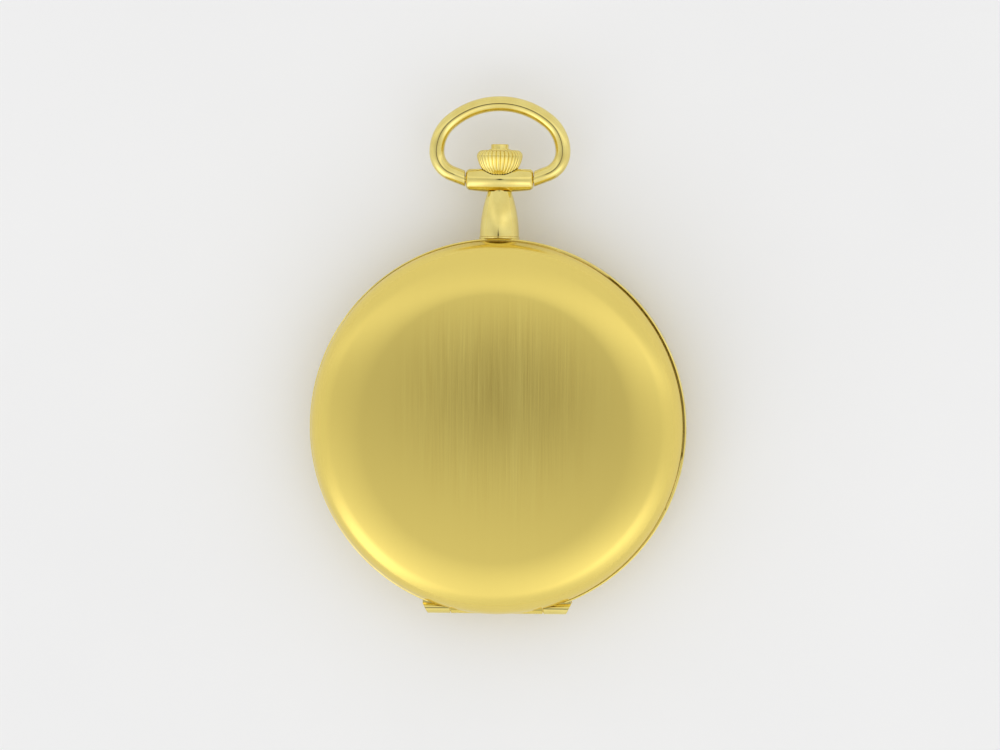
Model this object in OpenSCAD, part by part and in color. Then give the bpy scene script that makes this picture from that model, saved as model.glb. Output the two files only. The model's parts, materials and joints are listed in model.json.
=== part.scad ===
// Full hunter pocket watch, lying on its back cover with the crown towards +Y.
// The origin is the middle of the flat on the back cover. All sizes are in millimetres.

/* [Case] */
// Height of the middle band between its two seams
band_h = 4.1; // [4.1:0.05:4.6]
// How far the covers stand inside the band's edge
cover_inset = 0.15; // [0.15:0.05:0.35]
// Thickness of the covers' sheet
cover_t = 0.75; // [0.6:0.05:0.8]
// Radius of the covers' wide dome
dome_r = 240; // [200:10:300]
// Radius of the haunch between dome and shoulder
haunch_r = 25; // [20:1:30]
// Slope at which the haunch gives way to the shoulder
haunch_angle = 14; // [12:1:16]
// Radius of the rounded shoulder that joins haunch and rim
shoulder_r = 4; // [3.8:0.1:4.4]
// Angle from the axis at which the shoulder meets the seam
rim_angle = 78; // [76:1:80]
// Radius of the flat that the watch rests on
foot_r = 11; // [8:0.5:12]
// Width of the covers' seating rim
rim_land = 1.55; // [1.4:0.05:1.6]
// Height of the covers' seating rim
rim_h = 0.6; // [0.4:0.05:0.8]
// Bevel on the band's outer edges
band_bevel = 0.15; // [0.1:0.05:0.2]
// Wall of the band beside the springs
band_wall = 2.4; // [2.2:0.05:2.4]

/* [Hinges] */
// Radius of the hinge barrels
hinge_r = 0.75; // [0.7:0.01:0.78]
// Radius of the hinge pins
hinge_pin_r = 0.35; // [0.3:0.01:0.38]
// Full length of the hinge barrels
hinge_len = 19.9; // [19:0.1:20.5]
// Distance of the hinge axes inside the band's edge
hinge_depth = 0.95; // [0.9:0.01:1]
// Distance of the hinge axes from the seams
hinge_drop = 0.95; // [0.92:0.01:0.98]
// Width of the middle knuckle
mid_knuckle = 4; // [3.6:0.1:4.4]
// Width of the covers' knuckles
leaf_knuckle = 4; // [3.6:0.1:4.4]
// Gap between neighbouring knuckles
knuckle_gap = 0.1; // [0.06:0.01:0.14]
// Slant of the barrels' outer ends
hinge_slant = 0.75; // [0.5:0.05:0.9]

/* [Pendant and bow] */
// Radius of the neck at the band
neck_r = 2.62; // [2.5:0.01:2.68]
// Radius of the arc that narrows the neck
neck_arc = 19; // [18:0.5:21]
// Length of the neck between the band and the head
neck_len = 6.1; // [6:0.05:6.25]
// Radius of the collar at the foot of the neck
collar_r = 2.7; // [2.69:0.01:2.78]
// Radius of the head's middle
head_r = 1.68; // [1.64:0.01:1.74]
// Radius of the head's ends
head_end_r = 1.41; // [1.36:0.01:1.5]
// Radius of the bow's wire
bow_wire = 1; // [0.9:0.01:1.04]
// Half length of the head
head_half = 4.5; // [4.4:0.02:4.6]
// Radius of the rounded edges at the head's ends
head_corner = 0.45; // [0.4:0.01:0.5]
// Half width of the bow on its centre line
bow_half = 8.38; // [8.2:0.01:8.6]
// Height of the bow's centre line above its pivot axis
bow_rise = 10.05; // [9.85:0.01:10.25]
// Height of the bow's widest point above its pivot axis
bow_waist = 3.7; // [3.6:0.05:3.85]
// Radius of the bow's side arcs above the widest point
bow_side_r = 5.2; // [4.8:0.05:5.5]
// Radius of the bow's side arcs below the widest point
bow_low_r = 3.1; // [3:0.05:3.25]
// Slope of the bow's straight ends
bow_end_slope = 20.5; // [19:0.5:22.5]
// Radius of the bow's end pins
bow_pin_r = 0.45; // [0.4:0.01:0.5]

/* [Crown] */
// Largest radius of the crown
crown_r = 3.04; // [3:0.01:3.1]
// Radius of the crown at its base
crown_base_r = 1.7; // [1.65:0.01:1.8]
// Height of the crown's widest place above its base
crown_belly = 2.45; // [2.35:0.01:2.55]
// Radius of the crown's rounded edge
crown_edge_r = 0.8; // [0.75:0.01:0.85]
// Radius of the bowl between the crown's base and its edge
crown_bowl_r = 4; // [3.6:0.1:4.4]
// Number of ribs round the crown
crown_ribs = 32; // [28:2:34]
// Radius of the push button in the crown
button_r = 1.18; // [1.1:0.01:1.24]
// How far the push button stands out of the crown
button_out = 0.78; // [0.7:0.01:0.85]
// Travel of the push button
button_travel = 0.6; // [0.5:0.05:0.6]
// Travel of the crown when it is pulled out to set the hands
crown_travel = 1; // [0.8:0.05:1]
// Radius of the winding stem inside the neck
stem_r = 0.75; // [0.7:0.01:0.78]

/* [Crystal and dial] */
// Thickness of the dial
dial_t = 0.35; // [0.3:0.05:0.4]
// Width of the bezel outside the crystal
bezel_w = 1; // [0.95:0.01:1.05]
// Thickness of the crystal
crystal_t = 0.9; // [0.8:0.05:1]
// Radius of the crystal's dome
crystal_dome = 349; // [320:1:400]
// Radius of the small seconds dial
sub_r = 4.9; // [4.6:0.05:5]
// Length of the hour hand
hour_len = 11.4; // [10.8:0.1:12]
// Length of the minute hand
minute_len = 17; // [16:0.1:17.4]
// Length of the seconds hand
second_len = 4.2; // [3.8:0.1:4.4]
// Time shown by the hour hand, in minutes after twelve
shown_time = 608; // [0:1:719]

/* [Movement] */
// Radius of the main plate
plate_r = 18.3; // [18.1:0.05:18.35]
// Width of the ring that holds the main plate in the band
ring_w = 3.5; // [3.4:0.05:3.7]
// Thickness of the main plate
plate_t = 2; // [1.95:0.01:2.04]
// Height of the dial seat above the stem's axis
seat_rise = 1.95; // [1.9:0.01:2]
// Thickness of the bridges
bridge_t = 0.55; // [0.5:0.01:0.58]
// Gap between bridges
bridge_gap = 0.4; // [0.3:0.05:0.6]
// Radius of the train's pivots
pivot_r = 0.12; // [0.1:0.01:0.13]
// Outer radius of the bearing jewels
jewel_r = 0.55; // [0.5:0.01:0.6]
// Thickness of the wheels
wheel_t = 0.2; // [0.16:0.01:0.22]
// Radius of the balance wheel
balance_r = 5; // [4.6:0.05:5.05]

/* [Hidden] */
$fn = 96;
arc_fn = 1440;

// Clearances
play = 0.03;
slack = 0.1;
eps = 0.01;

// Radii of the case, from the plate outwards
ring_r = plate_r + slack + ring_w;
bezel_bore = ring_r + 0.4;
spring_bore = bezel_bore + 0.3;
case_r = spring_bore + band_wall;
cover_r = case_r - cover_inset;

// Heights of the case
shoulder_c = [cover_r - shoulder_r * sin(rim_angle), -shoulder_r * cos(rim_angle)];
haunch_c = shoulder_c - (haunch_r - shoulder_r) * [sin(haunch_angle), cos(haunch_angle)];
haunch_start = asin(haunch_c[0] / (dome_r - haunch_r));
dome_h = haunch_c[1] - (dome_r - haunch_r) * cos(haunch_start) + dome_r;
foot_drop = dome_r - sqrt(dome_r * dome_r - foot_r * foot_r);
back_seam = dome_h - foot_drop;
front_seam = back_seam + band_h;
mid_z = back_seam + band_h / 2;

// Inside of the band
ledge_low = back_seam + 0.25;
ledge_top = ledge_low + 0.5;
ledge_r = spring_bore - 1.6;
lip_h = 0.52;

// Hinge places
hinge_y = -(case_r - hinge_depth);
front_axis = front_seam - hinge_drop;
back_axis = back_seam + hinge_drop;
notch_y = hinge_y + hinge_r + 0.15;
notch_half = hinge_len / 2 + slack;
leaf_x0 = mid_knuckle / 2 + knuckle_gap;
leaf_x1 = leaf_x0 + leaf_knuckle;
end_x0 = leaf_x1 + knuckle_gap;
end_x1 = hinge_len / 2;

// Dust cover
dust_t = 0.4;
dust_flange_r = spring_bore - 0.5;
dust_flange_w = 0.9;
dust_rim_r = dust_flange_r - dust_flange_w;
dust_shoulder = 2.6;
dust_angle = 70;
dust_seam = ledge_low - dust_t;
arm_half = mid_knuckle / 2;

// Pendant, crown and latch
neck_y = case_r;
tenon_r = 1.25;
tenon_y = case_r - 1.1;
neck_bore = stem_r + slack;
collar_h = 0.2;
bow_axis = case_r + neck_len + head_r;
head_top = bow_axis + 1.4;
crown_y = bow_axis + 0.65;
crown_mid_r = crown_r - crown_edge_r;
crown_h = crown_belly + crown_edge_r;
crown_top = crown_y + crown_h;
button_seat = crown_top - 1.3;
rod_r = 0.35;
rod_bore = 0.4;
cross_pin_r = 0.2;
cross_pin_half = 1.5;
chamber_r = 1.65;
latch_y1 = spring_bore - 0.25;
latch_t = 0.4;
latch_half = 3;
cross_pin_y = latch_y1 + cross_pin_r + 0.05;
catch_x = 2.6;
catch_w = 1;
catch_y = latch_y1 + 0.1;
catch_lip = 0.3;
catch_low = mid_z + 0.75;
nose_z = catch_low + 0.35;
nose_t = 0.3;

// Movement: u is the depth below the dial seat
seat_z = mid_z + seat_rise;
stem_u = seat_rise;
bridge_u = plate_t + 1.45;
bridge_end = bridge_u + bridge_t;
wheel_top_u = bridge_end + 0.05;
cock_u = bridge_end + 0.2;
cock_t = 0.6;
bridge_r = plate_r - 0.5;
bridge_far = bridge_r + 2.2;

// Train: tooth counts, modules and places
barrel_n = 78;
centre_pinion_n = 12;
barrel_m = 0.17;
centre_n = 80;
third_pinion_n = 10;
centre_m = 0.16;
third_n = 75;
fourth_pinion_n = 10;
third_m = 0.15;
fourth_n = 80;
escape_pinion_n = 8;
fourth_m = 0.12;
escape_n = 15;
escape_r = 2.3;
crown_wheel_n = 30;
ratchet_n = 39;
winding_pinion_n = 13;
winding_m = 0.24;
cannon_n = 12;
minute_n = 36;
setting_n = 24;
motion_m = 0.15;
minute_pinion_n = 10;
hour_n = 40;
hour_m = motion_m * (cannon_n + minute_n) / (minute_pinion_n + hour_n);

function centres(a, b, m) = m * (a + b) / 2;
function polar(r, a) = [r * cos(a), r * sin(a)];
function angle_of(from, to) = atan2(to[1] - from[1], to[0] - from[0]);
// Where two circles round p and q meet, on the side given by turn
function meet(p, rp, q, rq, turn) =
    let (
        d = norm(q - p),
        along = (d * d + rp * rp - rq * rq) / (2 * d),
        off = sqrt(rp * rp - along * along),
        e = (q - p) / d
    )
    p + along * e + turn * off * [-e[1], e[0]];

// Arcs of the crown's outline: the bowl above its base, and the edge
crown_edge_c = [crown_mid_r, crown_belly];
bowl_c = meet([crown_base_r, 0], crown_bowl_r, crown_edge_c, crown_bowl_r - crown_edge_r, 1);
bowl_low = angle_of(bowl_c, [crown_base_r, 0]);
bowl_high = angle_of(bowl_c, crown_edge_c);

centre_p = [0, 0];
fourth_p = [0, -10.2];
barrel_p = polar(centres(barrel_n, centre_pinion_n, barrel_m), 150);
third_p = meet(centre_p, centres(centre_n, third_pinion_n, centre_m),
    fourth_p, centres(third_n, fourth_pinion_n, third_m), -1);
escape_p = fourth_p + polar(centres(fourth_n, escape_pinion_n, fourth_m), 10);
balance_p = [11, -5];
pallet_arm = 3;
pallet_p = escape_p + pallet_arm * (balance_p - escape_p) / norm(balance_p - escape_p);
crown_wheel_p = [0, barrel_p[1]
    + sqrt(pow(centres(ratchet_n, crown_wheel_n, winding_m), 2) - pow(barrel_p[0], 2))];
winding_y = crown_wheel_p[1] + winding_m * crown_wheel_n / 2;
minute_p = [0, centres(cannon_n, minute_n, motion_m)];
setting_p = minute_p + [0, centres(minute_n, setting_n, motion_m)];
click_p = barrel_p + polar(7, 100);

// Phases that bring each pair of wheels into mesh
function mesh_phase(n1, phase1, n2, dir) =
    dir + 180 + 360 / n2 * (0.5 - (phase1 - dir) * n1 / 360);
centre_pinion_phase = mesh_phase(barrel_n, 0, centre_pinion_n, angle_of(barrel_p, centre_p));
third_pinion_phase = mesh_phase(centre_n, 0, third_pinion_n, angle_of(centre_p, third_p));
fourth_pinion_phase = mesh_phase(third_n, 0, fourth_pinion_n, angle_of(third_p, fourth_p));
escape_pinion_phase = mesh_phase(fourth_n, 0, escape_pinion_n, angle_of(fourth_p, escape_p));
crown_wheel_phase = 90 + 180 / crown_wheel_n;
ratchet_phase = mesh_phase(crown_wheel_n, crown_wheel_phase, ratchet_n,
    angle_of(crown_wheel_p, barrel_p));
minute_phase = mesh_phase(cannon_n, 0, minute_n, 90);
hour_phase = mesh_phase(minute_pinion_n, 0, hour_n, -90);
setting_phase = mesh_phase(minute_n, minute_phase, setting_n, 90);

// Levels of the train
centre_u = plate_t + 0.85;
third_u = plate_t + 1.15;
fourth_u = plate_t + 0.3;
escape_u = plate_t + 0.75;
barrel_u = plate_t - 0.85;
barrel_h = 1.55;
barrel_drum_r = 6.1;
barrel_floor = 0.35;
balance_u = bridge_u - 0.05;
crown_wheel_u = stem_u + 1.55;
crown_wheel_end = wheel_top_u + 0.35;
lower_jewel_u = plate_t - 0.4;
upper_jewel_u = bridge_u + 0.05;
jewel_t = 0.3;
jewel_bore = pivot_r + play;
post_r = 0.16;
screw_r = 0.38;
staff_r = 0.3;
roller_r = 0.75;
impulse_r = 0.12;

// Hands and motion work
cannon_r = 0.7;
centre_post_r = 0.35;
hour_tube_r = 1.05;
second_hand_u = -0.6;
hour_hand_u = -0.9;
minute_hand_u = -1.3;
hand_t = 0.12;

gold = [0.86, 0.7, 0.32];
steel = [0.72, 0.73, 0.76];
brass = [0.8, 0.66, 0.36];
nickel = [0.78, 0.77, 0.74];
blue = [0.1, 0.14, 0.35];
ruby = [0.7, 0.08, 0.18];

// A flat outline made solid between two depths below the dial seat
module slab(u1, u2) {
    translate([0, 0, seat_z - u2]) linear_extrude(u2 - u1) children();
}

// A round rod between two depths below the dial seat
module post(p, r, u1, u2) {
    translate([p[0], p[1], seat_z - u2]) cylinder(h = u2 - u1, r = r);
}

// A round rod on the stem's axis
module along_y(y1, y2, r) {
    translate([0, y1, mid_z]) rotate([-90, 0, 0]) cylinder(h = y2 - y1, r = r);
}

// A round rod parallel to X
module along_x(x1, x2, y, z, r) {
    translate([x1, y, z]) rotate([0, 90, 0]) cylinder(h = x2 - x1, r = r);
}

// A shape and its mirror image across the YZ plane
module both_sides() {
    children();
    mirror([1, 0, 0]) children();
}

// Points of a toothed outline: tooth is the share of the pitch that a tooth fills
function tooth_points(n, m, phase, tooth, tip, root) =
    let (r = m * n / 2, half = 180 / n * tooth)
    [for (i = [0 : n - 1]) let (a = phase + i * 360 / n)
        each [
            polar(r - root * m, a - half),
            polar(r, a - half),
            polar(r + tip * m * 0.6, a - half * 0.78),
            polar(r + tip * m, a - half * 0.34),
            polar(r + tip * m, a + half * 0.34),
            polar(r + tip * m * 0.6, a + half * 0.78),
            polar(r, a + half),
            polar(r - root * m, a + half)
        ]];

// A wheel's outline with its spokes and its middle hole
module wheel_outline(points, spokes, rim_r, hub_r, hole_r, spoke_w) {
    steps = 14;
    half = function (r) asin(spoke_w / 2 / r);
    windows = [for (s = [0 : 1 : spokes - 1]) let (a = s * 360 / spokes)
        concat(
            [for (i = [0 : steps])
                polar(rim_r, a + half(rim_r) + (360 / spokes - 2 * half(rim_r)) * i / steps)],
            [for (i = [0 : steps])
                polar(hub_r, a + 360 / spokes - half(hub_r)
                    - (360 / spokes - 2 * half(hub_r)) * i / steps)]
        )];
    hole = [for (i = [0 : 11]) polar(hole_r, i * 30)];
    loops = concat([points], windows, [hole]);
    starts = [for (i = 0, s = 0; i < len(loops); s = s + len(loops[i]), i = i + 1) s];
    polygon(
        points = [for (l = loops) each l],
        paths = [for (k = [0 : len(loops) - 1]) [for (i = [0 : len(loops[k]) - 1]) starts[k] + i]]
    );
}

// A pinion's leaves round an arbor
module leaves(n, m, phase, hole_r) {
    wheel_outline(tooth_points(n, m, phase, 0.34, 0.65, 1.15), 0, 0, 0, hole_r, 0);
}

// A wheel's teeth, rim, spokes and hub
module wheel(n, m, phase, spokes, hub_r, hole_r) {
    wheel_outline(tooth_points(n, m, phase, 0.44, 0.9, 1.3), spokes,
        m * n / 2 - 1.3 * m - 0.45, hub_r, hole_r, 0.42);
}

// Flat of the hole that takes a round arbor of radius r
function round_seat(r) = (r + 0.005) / cos(15);

// A disc cut to the part between the axis and a line through its centre, above a level
module dome_sector(c, r, slope, low, high) {
    intersection() {
        translate(c) circle(r, $fn = arc_fn);
        polygon([
            [0, low],
            [c[0] + (low - c[1]) * tan(slope), low],
            [c[0] + (high - c[1]) * tan(slope), high],
            [0, high]
        ]);
    }
}

// Outline of a cover above its seam, set in by a wall
module cover_outline(inset) {
    high = dome_h + 1;
    intersection() {
        square([cover_r + 1, high]);
        union() {
            dome_sector([0, dome_h - dome_r], dome_r - inset, haunch_start, shoulder_c[1], high);
            dome_sector(haunch_c, haunch_r - inset, haunch_angle, shoulder_c[1], high);
            translate(shoulder_c) circle(shoulder_r - inset);
        }
    }
}

// A cover's shell standing on z = 0, cut flat at top
module cover_shell(top) {
    rotate_extrude() difference() {
        intersection() {
            cover_outline(0);
            square([case_r, top]);
        }
        difference() {
            intersection() {
                cover_outline(cover_t);
                square([case_r, top - cover_t]);
            }
            translate([cover_r - rim_land, -eps]) square([rim_land, rim_h + eps]);
        }
    }
}

// One knuckle of a hinge, with its bore
module knuckle(x1, x2, z, bore) {
    difference() {
        along_x(x1, x2, hinge_y, z, hinge_r);
        along_x(x1 - 1, x2 + 1, hinge_y, z, bore);
    }
}

// Slanted cutter for the right-hand end of a hinge barrel
module end_slant() {
    translate([0, 0, back_seam - 1]) linear_extrude(band_h + 2) polygon([
        [end_x1, hinge_y + hinge_r],
        [end_x1 - hinge_slant, hinge_y - hinge_r],
        [end_x1 - hinge_slant, hinge_y - 2 * hinge_r],
        [end_x1 + 2, hinge_y - 2 * hinge_r],
        [end_x1 + 2, hinge_y + hinge_r]
    ]);
}

// Fixed end knuckles and, for the front hinge, the fixed middle one
module fixed_knuckle(x1, x2, z) {
    difference() {
        union() {
            along_x(x1, x2, hinge_y, z, hinge_r);
            translate([x1, hinge_y, z - 0.4]) cube([x2 - x1, notch_y - hinge_y + 0.2, 0.8]);
        }
        along_x(x1 - 1, x2 + 1, hinge_y, z, hinge_pin_r);
        if (x1 > 0) end_slant();
    }
}

// A cover's pair of knuckles, reaching from the barrel to the seam and into the rim
module leaf_knuckles(z, seam, up) {
    both_sides() difference() {
        union() {
            along_x(leaf_x0, leaf_x1, hinge_y, z, hinge_r);
            translate([leaf_x0, hinge_y - 0.3, up > 0 ? z : seam - 0.3])
                cube([leaf_knuckle, hinge_r + 0.2, abs(seam - z) + 0.3]);
            translate([leaf_x0, hinge_y - 0.1, up > 0 ? seam : seam - 0.5])
                cube([leaf_knuckle, 1.7, 0.5]);
        }
        along_x(leaf_x0 - 1, leaf_x1 + 1, hinge_y, z, hinge_pin_r + play);
    }
}

// Case
module case_band() color(gold) {
    difference() {
        translate([0, 0, back_seam]) rotate_extrude() polygon([
            [spring_bore, ledge_top - back_seam],
            [ledge_r, ledge_top - back_seam],
            [ledge_r, ledge_low - back_seam],
            [dust_flange_r + 0.15, ledge_low - back_seam],
            [dust_flange_r + 0.15, 0],
            [case_r - band_bevel, 0],
            [case_r, band_bevel],
            [case_r, band_h - band_bevel],
            [case_r - band_bevel, band_h],
            [bezel_bore, band_h],
            [bezel_bore, band_h - lip_h],
            [spring_bore, band_h - lip_h]
        ]);
        translate([-notch_half, notch_y - 5, back_seam - 1]) cube([2 * notch_half, 5, band_h + 2]);
        along_y(tenon_y - eps, case_r + 1, tenon_r);
        along_y(ledge_r - 1, tenon_y, chamber_r);
        both_sides() catch_slot();
        dust_arm_slot();
    }
    both_sides() fixed_knuckle(end_x0, end_x1, front_axis);
    both_sides() fixed_knuckle(end_x0, end_x1, back_axis);
    fixed_knuckle(-mid_knuckle / 2, mid_knuckle / 2, front_axis);
}

module catch_slot() {
    translate([catch_x - catch_w / 2 - slack, catch_y - slack / 2, catch_low - slack])
        cube([catch_w + 2 * slack, catch_lip + 0.4 + 1.5 * slack, 4]);
}

module dust_arm_slot() {
    translate([-arm_half - slack, notch_y - 1, back_seam - 1])
        cube([2 * (arm_half + slack), 5, back_axis + 0.4 - back_seam + 1]);
}

module front_cover() color(gold) {
    translate([0, 0, front_seam]) cover_shell(dome_h);
    leaf_knuckles(front_axis, front_seam, 1);
    both_sides() catch_tab();
}

module catch_tab() {
    translate([catch_x - catch_w / 2, catch_y + catch_lip, catch_low])
        cube([catch_w, 0.4, front_seam - catch_low + 0.5]);
    translate([catch_x - catch_w / 2, catch_y + catch_lip, front_seam]) cube([catch_w, 1, 0.5]);
    translate([catch_x - catch_w / 2, catch_y, catch_low]) cube([catch_w, catch_lip + eps, 0.3]);
}

module back_cover() color(gold) {
    translate([0, 0, back_seam]) rotate([180, 0, 0]) cover_shell(back_seam);
    leaf_knuckles(back_axis, back_seam, -1);
}

// Outline of the dust cover below its seam, set in by a wall
module dust_outline(inset) {
    c = [dust_rim_r - dust_shoulder * sin(dust_angle), -dust_shoulder * cos(dust_angle)];
    slope = asin(c[0] / (dome_r - dust_shoulder));
    dome_low = c[1] - (dome_r - dust_shoulder) * cos(slope);
    high = dome_low + dome_r + 1;
    intersection() {
        square([dust_rim_r + 1, high]);
        union() {
            dome_sector([0, dome_low], dome_r - inset, slope, c[1], high);
            translate(c) circle(dust_shoulder - inset);
        }
    }
}

module dust_cover() color(gold) {
    wall_y = hinge_y + hinge_pin_r + slack;
    translate([0, 0, dust_seam]) rotate([180, 0, 0]) rotate_extrude() difference() {
        dust_outline(0);
        dust_outline(dust_t);
    }
    translate([0, 0, dust_seam]) rotate_extrude() translate([dust_rim_r - dust_t, -eps])
        square([dust_flange_r - dust_rim_r + dust_t, dust_t + eps]);
    knuckle(-arm_half, arm_half, back_axis, hinge_pin_r + play);
    translate([-arm_half, wall_y, back_seam + play])
        cube([2 * arm_half, -dust_flange_r + 0.3 - wall_y, dust_t]);
    translate([-arm_half, wall_y, back_seam + play])
        cube([2 * arm_half, 0.3, back_axis - back_seam - play]);
}

module front_hinge_pin() color(gold) along_x(-end_x1 + 1, end_x1 - 1, hinge_y, front_axis, hinge_pin_r);

module back_hinge_pin() color(gold) along_x(-end_x1 + 1, end_x1 - 1, hinge_y, back_axis, hinge_pin_r);

// Pendant
module pendant_neck() color(gold) {
    difference() {
        union() {
            translate([0, neck_y, mid_z]) rotate([-90, 0, 0]) rotate_extrude() intersection() {
                square([neck_r, neck_len + 0.1]);
                translate([neck_r - neck_arc, 0]) circle(neck_arc, $fn = arc_fn);
            }
            along_y(neck_y - 2 * collar_h, neck_y + collar_h, collar_r);
            along_y(tenon_y, neck_y + 1, tenon_r);
        }
        difference() {
            translate([0, 0, mid_z - collar_r - 1])
                cylinder(h = 2 * collar_r + 2, r = case_r + eps, $fn = arc_fn);
            along_y(tenon_y - 1, neck_y + 1, tenon_r);
        }
        along_y(tenon_y - 1, neck_y + neck_len + 1, neck_bore);
        translate([0, bow_axis, mid_z]) head_solid();
    }
}

// The head before its bores: a barrel along X with rounded ends and a flat top
module head_solid() {
    steps = 6;
    swell = head_r - head_end_r;
    side_half = head_half - head_corner;
    corner_r = head_end_r - head_corner;
    right_end = [for (a = [15 : 15 : 90]) [corner_r, side_half] + polar(head_corner, a)];
    intersection() {
        rotate([0, 90, 0]) rotate_extrude() polygon(concat(
            [[0, -head_half]],
            [for (i = [5 : -1 : 0]) [right_end[i][0], -right_end[i][1]]],
            [for (i = [-steps : steps]) [head_r - swell * pow(i / steps, 2), i * side_half / steps]],
            right_end,
            [[0, head_half]]
        ));
        translate([-head_half - 1, -5, -5]) cube([2 * head_half + 2, 5 + head_top - bow_axis, 10]);
    }
}

module pendant_head() color(gold) difference() {
    translate([0, bow_axis, mid_z]) head_solid();
    along_y(bow_axis - 5, bow_axis + 5, neck_bore);
    along_y(crown_y - slack, bow_axis + 5,
        bowl_c[0] + sqrt(pow(crown_bowl_r, 2) - pow(head_top - crown_y - bowl_c[1], 2)) + slack);
    both_sides() along_x(head_half - 1.3, head_half + 1, bow_axis, mid_z, bow_pin_r + 0.05);
}

// Bow: a flat oval ring of round wire along tangent arcs
bow_top_r = (pow(bow_half - bow_side_r, 2) + pow(bow_rise - bow_waist, 2) - bow_side_r * bow_side_r)
    / (2 * (bow_rise - bow_waist - bow_side_r));
bow_split = atan2(bow_half - bow_side_r, bow_top_r - bow_rise + bow_waist);
bow_low_turn = 90 - bow_end_slope;
bow_gap = 0.1;
bow_sides = 20;

// Stations along one arc of the wire: each is a centre point and the direction outwards
function arc_stations(c, r, a1, a2, steps) =
    [for (i = [0 : steps - 1]) let (a = a1 + (a2 - a1) * i / steps) [c + polar(r, a), a]];

// The right half of the wire from its end at the head up to the middle of the top
function bow_half_stations() =
    let (
        low_c = [bow_half - bow_low_r, bow_waist],
        low_end = low_c + polar(bow_low_r, -bow_low_turn),
        run = (low_end[0] - head_half / 2) / cos(bow_end_slope)
    )
    concat(
        [[low_end + polar(run, -90 - bow_low_turn), -bow_low_turn]],
        arc_stations(low_c, bow_low_r, -bow_low_turn, 0, 10),
        arc_stations([bow_half - bow_side_r, bow_waist], bow_side_r, 0, 90 - bow_split, 12),
        arc_stations([0, bow_rise - bow_top_r], bow_top_r, 90 - bow_split, 90, 10)
    );

// Faces of a closed skin over n rings of points
function skin_faces(n, sides) = concat(
    [for (i = [0 : n - 2]) for (k = [0 : sides - 1])
        [i * sides + k, i * sides + (k + 1) % sides, (i + 1) * sides + (k + 1) % sides,
            (i + 1) * sides + k]],
    [[for (k = [sides - 1 : -1 : 0]) k], [for (k = [0 : sides - 1]) (n - 1) * sides + k]]
);

module wire_along(stations, r, sides) {
    n = len(stations);
    points = [for (s = stations) for (k = [0 : sides - 1]) let (t = k * 360 / sides)
        [s[0][0] + r * cos(t) * cos(s[1]), s[0][1] + r * cos(t) * sin(s[1]), r * sin(t)]];
    polyhedron(points = points, faces = skin_faces(n, sides), convexity = 6);
}

module bow() color(gold) translate([0, bow_axis, mid_z]) {
    half = bow_half_stations();
    n = len(half);
    top = [[[0, bow_rise], 90]];
    left = [for (i = [n - 1 : -1 : 0]) [[-half[i][0][0], half[i][0][1]], 180 - half[i][1]]];
    end_x = head_half + bow_gap;
    difference() {
        wire_along(concat(half, top, left), bow_wire, bow_sides);
        cube([2 * end_x, 6, 6], center = true);
    }
    both_sides() along_x(head_half - 1.1, end_x + 0.6, 0, 0, bow_pin_r);
}

// Crown: round ribs with a sharp groove between each two, over a bowl and a rounded edge.
// Each ring of its skin is a point of the outline and the direction in which the grooves go in.
crown_rings = concat(
    [[[crown_base_r, 0], [-1, 0]]],
    [for (i = [1 : 4]) let (a = bowl_low + (bowl_high - bowl_low) * i / 4)
        [bowl_c + polar(crown_bowl_r, a), -polar(1, a)]],
    [for (i = [1 : 4]) let (a = bowl_high + (90 - bowl_high) * i / 4)
        [crown_edge_c + polar(crown_edge_r, a), -polar(1, a)]],
    [[[crown_mid_r - 0.6 * crown_edge_r, crown_h], [0, 0]]]
);

module crown_skin() {
    columns = 4;
    sides = columns * crown_ribs;
    deep = 0.62 * PI / crown_ribs;
    points = [for (g = crown_rings) for (k = [0 : sides - 1])
        let (
            u = 1 - 2 * (k % columns) / columns,
            p = g[0] + g[1] * g[0][0] * deep * u * u,
            a = -360 * k / sides
        )
        [p[0] * cos(a), p[0] * sin(a), p[1]]];
    polyhedron(points = points, faces = skin_faces(len(crown_rings), sides), convexity = 6);
}

module crown() color(gold) translate([0, crown_y, mid_z]) rotate([-90, 0, 0]) difference() {
    crown_skin();
    translate([0, 0, -1]) cylinder(h = crown_h + 2, r = stem_r);
    translate([0, 0, button_seat - crown_y]) cylinder(h = crown_h, r = button_r + 0.05);
}

module crown_button() color(gold) {
    along_y(button_seat + button_travel + 0.05, crown_top + button_out, button_r);
    along_y(cross_pin_y - cross_pin_r - 0.1, button_seat + button_travel + 0.1, rod_r);
    along_x(-cross_pin_half, cross_pin_half, cross_pin_y, mid_z, cross_pin_r);
}

// Keyless work
stem_end = winding_y - 2.4;
square_half = 0.42;
clutch_r = 0.6;
keyless_half = 1.95;
pinion_tip = winding_m * winding_pinion_n / 2 + 0.2;
pinion_y0 = winding_y - 0.25;
pinion_y1 = pinion_y0 + 1.15;
slide_y0 = stem_end + 0.3;
slide_y1 = pinion_y0 - slack;
stem_bore_y = cross_pin_y - cross_pin_r - button_travel - 0.2;
shoulder_y = pinion_y1 + crown_travel + 0.3;
setting_pin_p = [0, pinion_y1 + 0.55];
lever_p = [4.6, setting_pin_p[1] + crown_travel / 2];
yoke_p = [6.8, 6.2];

module winding_stem() color(steel) difference() {
    union() {
        translate([-square_half, stem_end, mid_z - square_half])
            cube([2 * square_half, pinion_y0 - stem_end, 2 * square_half]);
        along_y(pinion_y0 - eps, shoulder_y, clutch_r);
        along_y(shoulder_y - eps, crown_y + 1.4, stem_r);
    }
    along_y(stem_bore_y, crown_y + 5, rod_bore);
    translate([-2, stem_bore_y + 0.1, mid_z - cross_pin_r - 0.04])
        cube([4, cross_pin_y + cross_pin_r - stem_bore_y, 2 * cross_pin_r + 0.08]);
}

module on_stem(y1) {
    translate([0, y1, mid_z]) rotate([-90, 0, 0]) children();
}

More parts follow.
